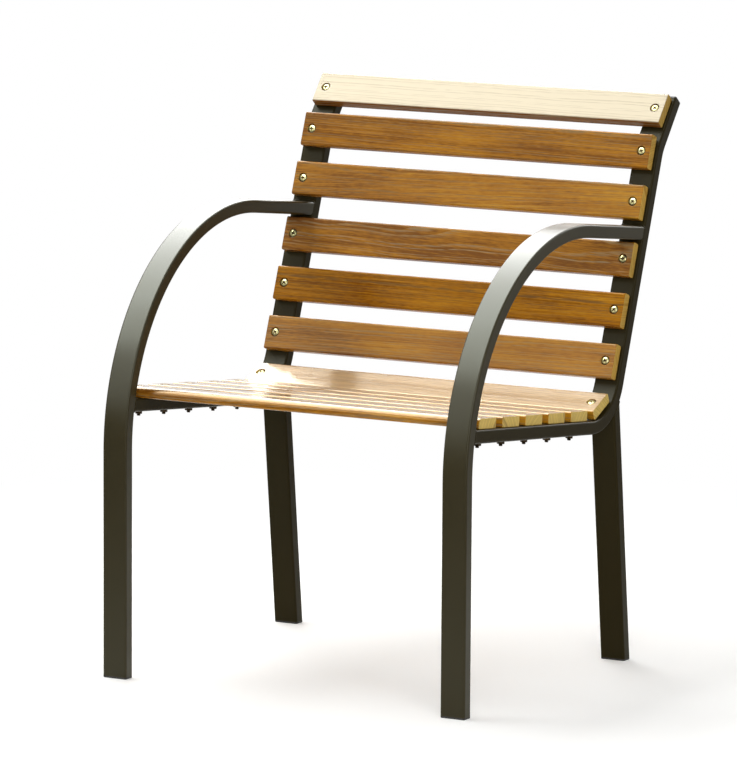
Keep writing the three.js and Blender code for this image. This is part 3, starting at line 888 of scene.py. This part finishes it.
# A nut's inscribed circle, as a share of its flats, and the slope of its chamfer outside it
NUT_FACE = 0.95
NUT_CHAMFER = np.radians(30)

# The cross recess: how soft its walls are, how much shallower and how much narrower its wings
# end, and the reach of the cone in its middle, in wing widths
RECESS_SOFT = 0.16 * MM
WING_FALL = 0.6
WING_TAPER = 0.4
CONE_REACH = 0.95

# How dark threads and nuts are: tarnish, and under the seat more of it with painted shade. Round a
# head's rim a painted shade starts at a share of its radius and grows up to a level
TARNISH_AND_SHADE = {"seat": 1.0, "back": 0.3}
RIM_SHADE = 0.6
RIM_SHADE_FROM, RIM_SHADE_SPAN = 0.86, 0.1


def grip_below(node, place, fasteners):
    """How far below a slat its nut starts, from the tip of the bolt's CAD node."""
    corners = np.array([v.co for v in frame["nodes"][node].data.vertices])
    tip = seen_from(place.at, place.heading, corners[:, 1] + 1j * corners[:, 2]).imag.min()
    return -tip - fasteners.nut_height - fasteners.tip


def cross_recess(x, y, fasteners):
    """How deep a cross recess is, as a share: two wings with soft walls, deepest where they cross."""
    reach, half = fasteners.cross_length / 2, fasteners.cross_width / 2
    depth = 0
    for along, across in ((x, y), (y, x)):
        slope = 1 - WING_FALL * np.clip(np.abs(along) / reach, 0, 1)
        walls = np.clip((half * slope ** WING_TAPER - np.abs(across)) / RECESS_SOFT, 0, 1)
        ends = np.clip((reach - np.abs(along)) / (2 * RECESS_SOFT), 0, 1)
        depth = np.maximum(depth, walls * ends * slope)
    cone = np.clip(1 - np.hypot(x, y) / (CONE_REACH * fasteners.cross_width), 0, 1)
    return np.maximum(depth, cone)


def turned_points(radius, height, place, x, spin):
    """Rows of points round a bolt's axis, placed at a slat: radius and height may vary round it."""
    around = spin + np.linspace(0, 2 * np.pi, radius.shape[1], endpoint=False)
    across, along = radius * np.cos(around), radius * np.sin(around)
    return space(x + across, along_out(place.at, place.heading, along, height))


def zinc_piece(name, nodes, points, grime, close_rows, settings):
    """A zinc-plated piece from rows of points round its axis, with how much tarnish and painted shade
    darken each point.
    """
    zinc = finish("yellow_passivated_zinc", passivated_zinc, settings)
    faces = grid_faces(*points.shape[:2], close_rows=close_rows)
    make_piece(surface(name, points, faces, zinc, attributes={"grime": grime.ravel()}),
               "zinc_plate", *nodes)


def bolt_piece(name, nodes, place, x, grip, spin, tarnish_and_shade, settings):
    """A bolt: domed head with a cross recess, plain shank, and a helical thread to its tip.

    Radius and height are worked out on a grid of rows down the bolt and angles round it. On
    the head the recess is taken off the dome's height, and on the thread the radius follows a
    wave of the height less the share of a turn.
    """
    sizes = settings.fasteners
    head, shank, pitch = sizes.head / 2, sizes.bolt / 2, sizes.pitch
    around = np.linspace(0, 2 * np.pi, BOLT_AROUND, endpoint=False)
    plain = np.ones((1, BOLT_AROUND))
    seat = settings.slats.thickness - sizes.counterbore_depth + settings.slats.fit
    tip = -grip - sizes.nut_height - sizes.tip

    middle = np.linspace(0, sizes.cross_length / 2 + PAST_RECESS, HEAD_ROWS)
    outer = head * np.sin(np.linspace(np.arcsin(middle[-1] / head), np.pi / 2, RIM_ROWS)[1:])
    top_radius = np.concatenate([middle, outer])[:, None] * plain
    dome = (sizes.head_height - sizes.head_rim) * np.sqrt(np.clip(1 - (top_radius / head) ** 2, 0, 1))
    recess = cross_recess(top_radius * np.cos(around), top_radius * np.sin(around), sizes)
    top_height = seat + sizes.head_rim + dome - sizes.cross_depth * recess

    under = np.array([(head, seat + HEAD_EASE), (head - HEAD_EASE, seat),
                      (shank + SHANK_EASE, seat), (shank, seat - SHANK_EASE)])

    thread_top = -grip + THREAD_ABOVE * pitch
    rows = int((thread_top - tip) / pitch * PITCH_ROWS)
    height = np.linspace(thread_top, tip, rows)[:, None] * plain
    wave = np.abs(2 * np.mod(height / pitch - around / (2 * np.pi), 1) - 1)
    cut = np.clip((thread_top - height) / pitch, 0, 1)
    radius = shank - sizes.thread_depth * cut * np.clip(THREAD_STEEP * wave - THREAD_FLAT, 0, 1)
    radius = np.minimum(radius, shank - TIP_CHAMFER * pitch + (height - tip))

    radius = np.vstack([top_radius, under[:, :1] * plain, radius, 0 * plain])
    height = np.vstack([top_height, under[:, 1:] * plain, height, tip * plain])
    # Threads darken with tarnish and painted shade; the recess and a ring round the rim get painted
    # shade
    grime = np.full_like(radius, tarnish_and_shade)
    rim = RIM_SHADE * np.clip((top_radius / head - RIM_SHADE_FROM) / RIM_SHADE_SPAN, 0, 1)
    grime[:len(recess)] = np.maximum(recess, rim)
    points = turned_points(radius, height, place, x, spin)
    zinc_piece(name, nodes, points, grime, False, settings)


def nut_piece(name, nodes, place, x, grip, spin, tarnish_and_shade, settings):
    """A hexagonal nut: its radius follows the hexagon round it, and both faces are chamfered.

    A side's radius is half the width over flats divided by the cosine of the angle from its
    middle, and the chamfer falls outside the inscribed circle.
    """
    sizes = settings.fasteners
    around = np.linspace(0, 2 * np.pi, NUT_AROUND, endpoint=False)
    from_middle = np.mod(around, np.pi / 3) - np.pi / 6
    hexagon = sizes.nut / 2 / np.cos(from_middle)
    inscribed = NUT_FACE * sizes.nut / 2
    fall = (hexagon - inscribed) * np.tan(NUT_CHAMFER)
    top, below, bore = -grip, -grip - sizes.nut_height, sizes.bolt / 2
    rows = [(bore, top - NUT_EASE), (bore + NUT_EASE, top), (inscribed, top), (hexagon, top - fall),
            (hexagon, below + fall), (inscribed, below), (bore + NUT_EASE, below),
            (bore, below + NUT_EASE)]
    plain = np.ones(NUT_AROUND)
    radius, height = np.array([[r * plain, h * plain] for r, h in rows]).swapaxes(0, 1)
    points = turned_points(radius, height, place, x, spin)
    zinc_piece(name, nodes, points, np.full(radius.size, tarnish_and_shade), True, settings)


def fastener_places(settings):
    """Each bolt's part, side, number, slat place, x and grip, and the CAD node of its bolt."""
    for place in SideView(settings).slat_places():
        part, _, number = place.name.split("_")
        for side, sign in SIDES.items():
            node = f"{part}_bolt_{side}_{number}"
            grip = grip_below(node, place, settings.fasteners)
            yield part, side, number, place, sign * frame_middle(settings.frame), grip, node


class ARMCHAIR_OT_bolts(bpy.types.Operator):
    """Make the domed bolts in their counterbores"""

    bl_idname = "armchair.bolts"
    bl_label = "Bolts"

    def execute(self, context):
        settings = context.scene.armchair
        random = np.random.default_rng(SEED)
        for part, side, number, place, x, grip, node in fastener_places(settings):
            spin = random.uniform(0, np.pi / 2)
            bolt_piece(f"domed_bolt_{part}_{side}_{number}", [node], place, x, grip, spin,
                       TARNISH_AND_SHADE[part], settings)
        return {"FINISHED"}


class ARMCHAIR_OT_nuts(bpy.types.Operator):
    """Make the hexagonal nuts below the rail and behind the uprights"""

    bl_idname = "armchair.nuts"
    bl_label = "Nuts"

    def execute(self, context):
        settings = context.scene.armchair
        random = np.random.default_rng(SEED + 1)
        for part, side, number, place, x, grip, _ in fastener_places(settings):
            nodes = [f"seat_nut_{side}_{number}"] if part == "seat" else []
            spin = random.uniform(0, np.pi / 3)
            nut_piece(f"hex_nut_{part}_{side}_{number}", nodes, place, x, grip, spin, TARNISH_AND_SHADE[part],
                      settings)
        return {"FINISHED"}


# Finishes

WHITE = (1.0, 1.0, 1.0, 1.0)


def add_node(tree, kind, inputs=None, **traits):
    """Adds a node, sets its traits, and fills or links its inputs by name or number.

    A name means the socket in use that has it, and a node given as a value is linked from its
    first output in use.
    """
    made = tree.nodes.new("ShaderNode" + kind)
    for key, value in traits.items():
        setattr(made, key, value)
    for key, value in (inputs or {}).items():
        named = [socket for socket in made.inputs if socket.enabled and socket.name == key]
        socket = named[0] if named else made.inputs[key]
        if isinstance(value, bpy.types.Node):
            value = next(output for output in value.outputs if output.enabled)
        if isinstance(value, bpy.types.NodeSocket):
            tree.links.new(value, socket)
        else:
            socket.default_value = value
    return made


def finish(name, wire, settings, *traits):
    """The material of that name, made once: a function wires its nodes and returns its shader."""
    made = bpy.data.materials.get(name)
    if not made:
        made = bpy.data.materials.new(name)
        made.use_nodes = True
        made.node_tree.nodes.clear()
        shader = wire(made.node_tree, settings, *traits)
        add_node(made.node_tree, "OutputMaterial", {"Surface": shader})
    return made


def powder_coat(tree, settings, coat):
    """Satin polyester powder coat on steel, baked on: even colour, soft gloss, faint orange peel."""
    place = add_node(tree, "TexCoord").outputs["Object"]
    # The melt leaves ripples about 3 mm apart and only hundredths of a millimetre high
    peel = add_node(tree, "TexNoise", {"Vector": place, "Scale": 1 / (3 * MM), "Detail": 2.0})
    bump = add_node(tree, "Bump", {"Height": peel, "Strength": 0.25, "Distance": 0.06 * MM})
    # Cloudy patches of a hand's width, where the coat lies a little thicker or is rubbed
    patch = add_node(tree, "TexNoise", {"Vector": place, "Scale": 1 / (90 * MM), "Detail": 4.0})
    rough = add_node(tree, "MapRange", {"Value": patch, "From Min": 0.3, "From Max": 0.7,
                                        "To Min": 0.28, "To Max": 0.35})
    paint = scaled(settings.finishes.paint, coat.depth)
    tone = add_node(tree, "Mix", {"Factor": patch, "A": paint, "B": scaled(paint, PATCH_PALE)},
                    data_type="RGBA")
    # The Specular Tint's greenish cast is a painted reflection of green surroundings
    return add_node(tree, "BsdfPrincipled", {
        "Base Color": tone, "Roughness": rough, "IOR": 1.5, "Specular IOR Level": coat.gloss,
        "Specular Tint": settings.finishes.paint_gloss[:], "Normal": bump})


def moulded_plastic(tree, settings):
    """Injection-moulded black polyethylene: dull, a little waxy, with a fine sparked grain."""
    place = add_node(tree, "TexCoord").outputs["Object"]
    # The mould's sparked grain, about 0.4 mm across
    grain = add_node(tree, "TexNoise", {"Vector": place, "Scale": 1 / (0.4 * MM), "Detail": 2.0})
    bump = add_node(tree, "Bump", {"Height": grain, "Strength": 0.3, "Distance": 0.05 * MM})
    # Scuffs a few millimetres long make the surface unevenly dull
    scuff = add_node(tree, "TexNoise", {"Vector": place, "Scale": 1 / (5 * MM), "Detail": 5.0})
    rough = add_node(tree, "MapRange", {"Value": scuff, "To Min": 0.45, "To Max": 0.7})
    return add_node(tree, "BsdfPrincipled", {
        "Base Color": settings.finishes.plastic[:], "Roughness": rough, "IOR": 1.51, "Normal": bump})


def passivated_zinc(tree, settings):
    """Electroplated zinc with yellow passivation: bright, straw coloured, with a greenish cast."""
    colours = settings.finishes
    place = add_node(tree, "TexCoord").outputs["Object"]
    # The passivation's film changes thickness, and so its tint, over 2 or 3 mm
    film = add_node(tree, "TexNoise", {"Vector": place, "Scale": 1 / (2.5 * MM), "Detail": 3.0})
    tint = add_node(tree, "MapRange", {"Value": film, "From Min": 0.35, "From Max": 0.7})
    tone = add_node(tree, "Mix", {"Factor": tint, "A": colours.zinc[:], "B": colours.zinc_green[:]},
                    data_type="RGBA")
    # Painted shade darkens the cross recess and a ring round the head, and tarnish with painted shade
    # browns the threads and nuts, most under the seat
    grime = add_node(tree, "Attribute", attribute_name="grime").outputs["Fac"]
    grime = add_node(tree, "MapRange", {"Value": grime, "From Min": 0.05, "From Max": 0.6,
                                        "To Max": 0.96})
    worn = add_node(tree, "Mix", {"Factor": grime, "A": tone, "B": colours.grime[:]},
                    data_type="RGBA")
    rough = add_node(tree, "MapRange", {"Value": film, "To Min": 0.22, "To Max": 0.42})
    return add_node(tree, "BsdfPrincipled", {"Base Color": worn, "Metallic": 1.0, "Roughness": rough})


def drawn_out_noise(tree, log, along, across, detail):
    """Noise in the log whose grains are so long along it and so wide across it."""
    scale = (1 / along, 1 / across, 1 / across)
    grains = add_node(tree, "Mapping", {"Vector": log, "Scale": scale})
    return add_node(tree, "TexNoise", {"Vector": grains, "Scale": 1.0, "Detail": detail})


def annual_rings(tree, log, wave):
    """The share of its ring that a point has behind it, and a random value for each ring.

    The rings are coaxial shells about the log's pith. The distance from it, moved by noise, is
    counted in rings of 4.1 mm, and more noise along that distance crowds or spreads them.
    """
    ring_width, sway = 4.1 * MM, 9 * MM
    run, unevenness = 9 * MM, 3.2
    # The rings wander by some millimetres over a hand's length
    wander = drawn_out_noise(tree, log, along=220 * MM, across=70 * MM, detail=2.0)
    reach = add_node(tree, "Math", {0: wave, 1: sway}, operation="MULTIPLY")
    flat = add_node(tree, "VectorMath", {0: log, 1: (0, 1, 1)}, operation="MULTIPLY")
    radius = add_node(tree, "VectorMath", {0: flat}, operation="LENGTH")
    moved = add_node(tree, "Math", {0: wander, 1: reach, 2: radius}, operation="MULTIPLY_ADD")
    # Good and poor years come in runs, so that rings lie closer and further apart
    runs = add_node(tree, "Math", {0: moved, 1: 1 / run}, operation="MULTIPLY")
    growth = add_node(tree, "TexNoise", {"W": runs, "Scale": 1.0, "Detail": 1.0},
                      noise_dimensions="1D")
    steady = add_node(tree, "Math", {0: moved, 1: ring_width}, operation="DIVIDE")
    count = add_node(tree, "Math", {0: growth, 1: unevenness, 2: steady}, operation="MULTIPLY_ADD")
    phase = add_node(tree, "Math", {0: count}, operation="FRACT")
    year = add_node(tree, "Math", {0: count}, operation="FLOOR")
    return phase, add_node(tree, "TexWhiteNoise", {"W": year}, noise_dimensions="1D")


def set_stops(ramp, *stops):
    """Gives a colour ramp its stops, as (position, colour) in rising order."""
    elements = ramp.color_ramp.elements
    for position, _ in stops[1:-1]:
        elements.new(position)
    for element, stop in zip(elements, stops):
        element.position, element.color = stop


def varnished_ash(tree, settings, varnish):
    """Flat-sawn ash, stained orange-brown and varnished over open grain.

    The rings come from the slat's "log" attribute. Early wood is a belt of open pores that keep
    a grey-brown dullness, late wood is dense and takes more stain, and the gloss lies over both.
    """
    colours = settings.finishes
    log = add_node(tree, "Attribute", attribute_name="log").outputs["Vector"]
    figure = add_node(tree, "Attribute", attribute_name="figure").outputs["Vector"]
    # The figure holds the stain's tone with painted shade, the bleaching with a painted sheen, and the
    # wave
    tone, bleach, wave = add_node(tree, "SeparateXYZ", {0: figure}).outputs
    dust = add_node(tree, "Attribute", attribute_name="dust").outputs["Fac"]
    phase, season = annual_rings(tree, log, wave)

    # Across one ring: pores open sharply, thin out, and dense late wood follows
    early = add_node(tree, "ValToRGB", {"Fac": phase})
    set_stops(early, *((position, (value, value, value, 1.0)) for position, value in
                       ((0.0, 0.1), (0.05, 1.0), (0.25, 0.85), (0.42, 0.1), (1.0, 0.0))))

    # Pores are tubes 0.3 mm wide; drawn 1.4 mm wide and 30 mm long, so that they show from afar
    pore = drawn_out_noise(tree, log, along=30 * MM, across=1.4 * MM, detail=1.0)
    open_pore = add_node(tree, "MapRange", {"Value": pore, "From Min": 0.35, "From Max": 0.52})
    crowd = add_node(tree, "MapRange", {"Value": season, "To Min": 0.45})
    belt = add_node(tree, "Math", {0: early, 1: crowd}, operation="MULTIPLY")
    pores = add_node(tree, "Math", {0: belt, 1: open_pore}, operation="MULTIPLY")

    # Fibre streaks are drawn 2 mm wide and a hand long, so that they show from afar. Clouds of
    # stain are the size of a hand, and fibres dip out of the surface in flecks, drawn 1.8 mm wide
    streak = drawn_out_noise(tree, log, along=150 * MM, across=2 * MM, detail=2.0)
    cloud = drawn_out_noise(tree, log, along=140 * MM, across=45 * MM, detail=2.0)
    fleck = drawn_out_noise(tree, log, along=12 * MM, across=1.8 * MM, detail=1.0)
    shade = tone
    for part, weight in ((streak, 1.7), (cloud, 1.2), (fleck, 0.9), (season, 0.3), (phase, 0.2)):
        shade = add_node(tree, "Math", {0: part, 1: weight, 2: shade}, operation="MULTIPLY_ADD")
    dark = add_node(tree, "MapRange", {"Value": shade, "From Min": 1.8, "From Max": 3.2})
    stain = add_node(tree, "ValToRGB", {"Fac": dark})
    set_stops(stain, (0.0, colours.stain_light[:]), (0.5, colours.stain[:]),
              (1.0, colours.stain_dark[:]))
    # Bleaching and a painted sheen pale the top
    pale = add_node(tree, "Mix", {"Factor": bleach, "A": stain, "B": colours.bleached_and_sheen[:]},
                    data_type="RGBA")

    # Dust and a painted sheen grey the pores, and bleaching with its painted sheen takes most of their
    # contrast
    pore_colour = add_node(tree, "Mix", {"Factor": dust, "A": colours.pore[:], "B": colours.pore_dust_and_sheen[:]},
                      data_type="RGBA")
    clear = add_node(tree, "MapRange", {"Value": bleach, "To Min": 0.95, "To Max": 0.45})
    grey = add_node(tree, "Math", {0: pores, 1: clear}, operation="MULTIPLY")
    grained = add_node(tree, "Mix", {"Factor": grey, "A": pale, "B": pore_colour}, data_type="RGBA")

    # Sawn ends face along X and show the rings as arcs in paler wood
    facing = add_node(tree, "NewGeometry").outputs["Normal"]
    apart = add_node(tree, "SeparateXYZ", {0: facing})
    turned = add_node(tree, "Math", {0: apart.outputs["X"]}, operation="ABSOLUTE")
    sawn = add_node(tree, "MapRange", {"Value": turned, "From Min": 0.75, "From Max": 0.95})
    end = add_node(tree, "Mix", {"Factor": belt, "A": colours.end_grain[:],
                                 "B": colours.end_ring[:]}, data_type="RGBA")
    end = add_node(tree, "Mix", {"Factor": varnish.end_stain, "A": end, "B": stain},
                   data_type="RGBA")
    final = add_node(tree, "Mix", {"Factor": sawn, "A": grained, "B": end}, data_type="RGBA")

    # The varnish sinks a little into the pores, and soaks away dull into the ends
    bump = add_node(tree, "Bump", {"Height": pores, "Strength": 0.5, "Distance": 0.15 * MM},
                    invert=True)
    dull = add_node(tree, "MapRange", {"Value": sawn, "To Min": varnish.roughness, "To Max": 0.6})
    return add_node(tree, "BsdfPrincipled", {
        "Base Color": final, "Roughness": dull, "IOR": 1.5, "Specular IOR Level": varnish.gloss,
        "Specular Tint": linear(varnish.cast), "Normal": bump})


def seen_directly(tree, path):
    """One for the rays that show a surface itself: to the camera, in gloss and through glass."""
    either = add_node(tree, "Math", {0: path.outputs["Is Camera Ray"],
                                     1: path.outputs["Is Glossy Ray"]}, operation="MAXIMUM")
    return add_node(tree, "Math", {0: either, 1: path.outputs["Is Transmission Ray"]},
                    operation="MAXIMUM")


def room_brightness(tree, path, depth, dim, bright, span):
    """White to the camera; in reflections it goes from dim in front to bright behind, over a span."""
    side = add_node(tree, "MapRange", {"Value": depth, "From Min": -span, "From Max": 0.0,
                                       "To Min": dim, "To Max": bright},
                    interpolation_type="SMOOTHSTEP")
    return add_node(tree, "Mix", {"Factor": path.outputs["Is Camera Ray"], "A": side, "B": 1.0},
                    data_type="FLOAT")


def studio_floor(tree, settings):
    """Matt white studio floor that fades by distance into the white of the room."""
    stage = settings.stage
    path = add_node(tree, "LightPath")
    seen = seen_directly(tree, path)
    place = add_node(tree, "TexCoord").outputs["Object"]
    apart = add_node(tree, "SeparateXYZ", {0: place})
    level = room_brightness(tree, path, apart.outputs["Y"], dim=stage.front_wall,
                            bright=stage.floor_gloss, span=1.2)
    away = add_node(tree, "VectorMath", {0: place}, operation="LENGTH")
    fade = add_node(tree, "MapRange", {"Value": away, "From Min": 0.75, "From Max": 1.7},
                    interpolation_type="SMOOTHSTEP")
    white = add_node(tree, "Math", {0: fade, 1: seen}, operation="MULTIPLY")
    lift = add_node(tree, "Math", {0: seen, 1: stage.floor_lift}, operation="MULTIPLY")
    matt = add_node(tree, "BsdfPrincipled", {
        "Base Color": settings.finishes.floor[:], "Roughness": 0.9, "Specular IOR Level": 0.0,
        "Emission Color": WHITE, "Emission Strength": lift})
    room = add_node(tree, "Emission", {"Color": WHITE, "Strength": level})
    return add_node(tree, "MixShader", {0: white, 1: matt, 2: room})


# Stage

FLOOR_RINGS = 13
FLOOR_AROUND = 64
SENSOR_WIDTH = 36
CHAIR = (0, 0, 0.45)
# Almost straight down, so that a lamp's sides keep to X and Y
DOWN = Vector((0, 0.001, -1))

# Each softbox's name, the setting that holds its radiance, its place, what it faces, or None for
# the floor below it, its size in metres, and whether it shows in reflections only
SOFTBOXES = (
    ("overhead_bank", "bank", (-1.85, 0.75, 3.35), None, (1.8, 4.5), False),
    ("overhead_gloss", "gloss", (-1.4, 0.75, 3.45), None, (3.4, 4.7), True),
    ("front_gloss", "front_gloss", (-1.8, -2.5, 3.45), None, (3.2, 1.7), True),
    ("back_gloss", "back_gloss", (-2.4, 3.9, 2.7), CHAIR, (2.6, 2.6), True),
    ("near_gloss", "near_gloss", (-0.95, -1.85, 1.17), (0, -0.3, 0.5), (1.4, 0.85), True),
    ("rim_gloss", "rim_gloss", (0.7, 4.4, 2.6), CHAIR, (1.9, 1.3), True),
    ("front_fill", "fill", (2.0, -2.6, 1.7), CHAIR, (2.2, 2.2), False),
)


def floor_piece(settings):
    """A disc of rings about the origin, each ring's radius growing evenly to the floor's edge."""
    radius = np.linspace(0, settings.stage.floor_radius, FLOOR_RINGS)[:, None]
    around = np.linspace(0, 2 * np.pi, FLOOR_AROUND, endpoint=False)
    flat = np.stack([radius * np.cos(around), radius * np.sin(around), 0 * radius * around], -1)
    white = finish("matt_white_studio_floor", studio_floor, settings)
    floor = surface("studio_floor", flat, grid_faces(*flat.shape[:2]), white)


def camera_piece(stage):
    """The camera at the photograph's viewpoint, turned by its yaw, pitch and roll."""
    cos, sin = np.cos, np.sin
    yaw, pitch, roll = stage.yaw, stage.pitch, stage.roll
    forward = Vector((-sin(yaw) * cos(pitch), cos(yaw) * cos(pitch), -sin(pitch)))
    level = Vector((cos(yaw), sin(yaw), 0))
    upright = level.cross(forward)
    right = cos(roll) * level + sin(roll) * upright
    up = cos(roll) * upright - sin(roll) * level
    data = bpy.data.cameras.new("photo_camera")
    data.lens = stage.lens / MM
    data.sensor_width = SENSOR_WIDTH
    data.clip_end = 100
    camera = bpy.data.objects.new("photo_camera", data)
    place = Vector(stage.camera) + Vector((0, FRONT, 0))
    turned = Matrix([right, up, -forward]).transposed().to_4x4()
    camera.matrix_world = Matrix.Translation(place) @ turned
    bpy.context.scene.collection.objects.link(camera)
    bpy.context.scene.camera = camera


def softbox(name, at, aim, size, radiance, reflected_only):
    """A rectangular area light at a place, turned to face another; radiance 1 looks white."""
    data = bpy.data.lights.new(name, "AREA")
    data.shape = "RECTANGLE"
    data.size, data.size_y = size
    data.energy = 4 * radiance * size[0] * size[1]
    lamp = bpy.data.objects.new(name, data)
    lamp.visible_camera = False
    lamp.visible_diffuse = not reflected_only
    at = Vector(at)
    facing = at - Vector(aim) if aim else -DOWN
    lamp.matrix_world = Matrix.Translation(at) @ facing.to_track_quat("Z", "Y").to_matrix().to_4x4()
    bpy.context.scene.collection.objects.link(lamp)


def studio_world(stage):
    """A white room, lighting the chair at a plain level.

    It is white to the camera, and in gloss and glass white on the backdrop's side, falling off
    to a dimmer wall on the other side, where the camera stands.
    """
    world = bpy.data.worlds.new("studio_room")
    world.use_nodes = True
    tree = world.node_tree
    tree.nodes.clear()
    path = add_node(tree, "LightPath")
    towards = add_node(tree, "TexCoord").outputs["Generated"]
    apart = add_node(tree, "SeparateXYZ", {0: towards})
    dim = add_node(tree, "MapRange", {"Value": apart.outputs["Z"], "From Min": 0.2, "From Max": 0.8,
                                      "To Min": stage.front_wall, "To Max": 1.0})
    shown = room_brightness(tree, path, apart.outputs["Y"], dim, bright=1.0, span=0.75)
    strength = add_node(tree, "Mix", {"Factor": seen_directly(tree, path), "A": stage.sky,
                                      "B": shown}, data_type="FLOAT")
    shader = add_node(tree, "Background", {"Color": WHITE, "Strength": strength})
    add_node(tree, "OutputWorld", {"Surface": shader})
    bpy.context.scene.world = world


class ARMCHAIR_OT_stage(bpy.types.Operator):
    """Make the floor, the soft lights, the white room and the camera"""

    bl_idname = "armchair.stage"
    bl_label = "Stage"

    def execute(self, context):
        settings = context.scene.armchair
        floor_piece(settings)
        camera_piece(settings.stage)
        for name, radiance, at, aim, size, reflected_only in SOFTBOXES:
            softbox(name, at, aim, size, getattr(settings.stage, radiance), reflected_only)
        studio_world(settings.stage)
        context.scene.view_settings.view_transform = "Standard"
        return {"FINISHED"}


class ARMCHAIR_PT_build(bpy.types.Panel):
    """Buttons and sizes in the 3D view's sidebar"""

    bl_idname = "ARMCHAIR_PT_build"
    bl_label = "Garden armchair"
    bl_space_type = "VIEW_3D"
    bl_region_type = "UI"
    bl_category = "Armchair"

    def draw(self, context):
        settings = context.scene.armchair
        for maker in OPERATORS:
            self.layout.operator(maker.bl_idname)
        for group in (settings.frame, settings.slats, settings.fasteners, settings.caps,
                      settings.finishes, settings.stage):
            box = self.layout.box()
            for key in group.bl_rna.properties.keys():
                if key not in ("rna_type", "name"):
                    box.prop(group, key)


OPERATORS = (
    ARMCHAIR_OT_side_frames,
    ARMCHAIR_OT_welds,
    ARMCHAIR_OT_end_caps,
    ARMCHAIR_OT_slats,
    ARMCHAIR_OT_bolts,
    ARMCHAIR_OT_nuts,
    ARMCHAIR_OT_stage,
)
CLASSES = (
    ArmchairFrameSizes,
    ArmchairSlatSizes,
    ArmchairFastenerSizes,
    ArmchairCapSizes,
    ArmchairFinishes,
    ArmchairStage,
    ArmchairSettings,
    *OPERATORS,
    ARMCHAIR_PT_build,
)


def register():
    """Adds the classes and the settings of the armchair to Blender."""
    for made in CLASSES:
        bpy.utils.register_class(made)
    bpy.types.Scene.armchair = PointerProperty(type=ArmchairSettings)


def unregister():
    """Takes them away again."""
    del bpy.types.Scene.armchair
    for made in reversed(CLASSES):
        bpy.utils.unregister_class(made)


def main():
    """Builds the whole armchair and its stage."""
    register()
    bpy.ops.armchair.side_frames()
    bpy.ops.armchair.welds()
    bpy.ops.armchair.end_caps()
    bpy.ops.armchair.slats()
    bpy.ops.armchair.bolts()
    bpy.ops.armchair.nuts()
    bpy.ops.armchair.stage()


if __name__ == "__main__":
    main()
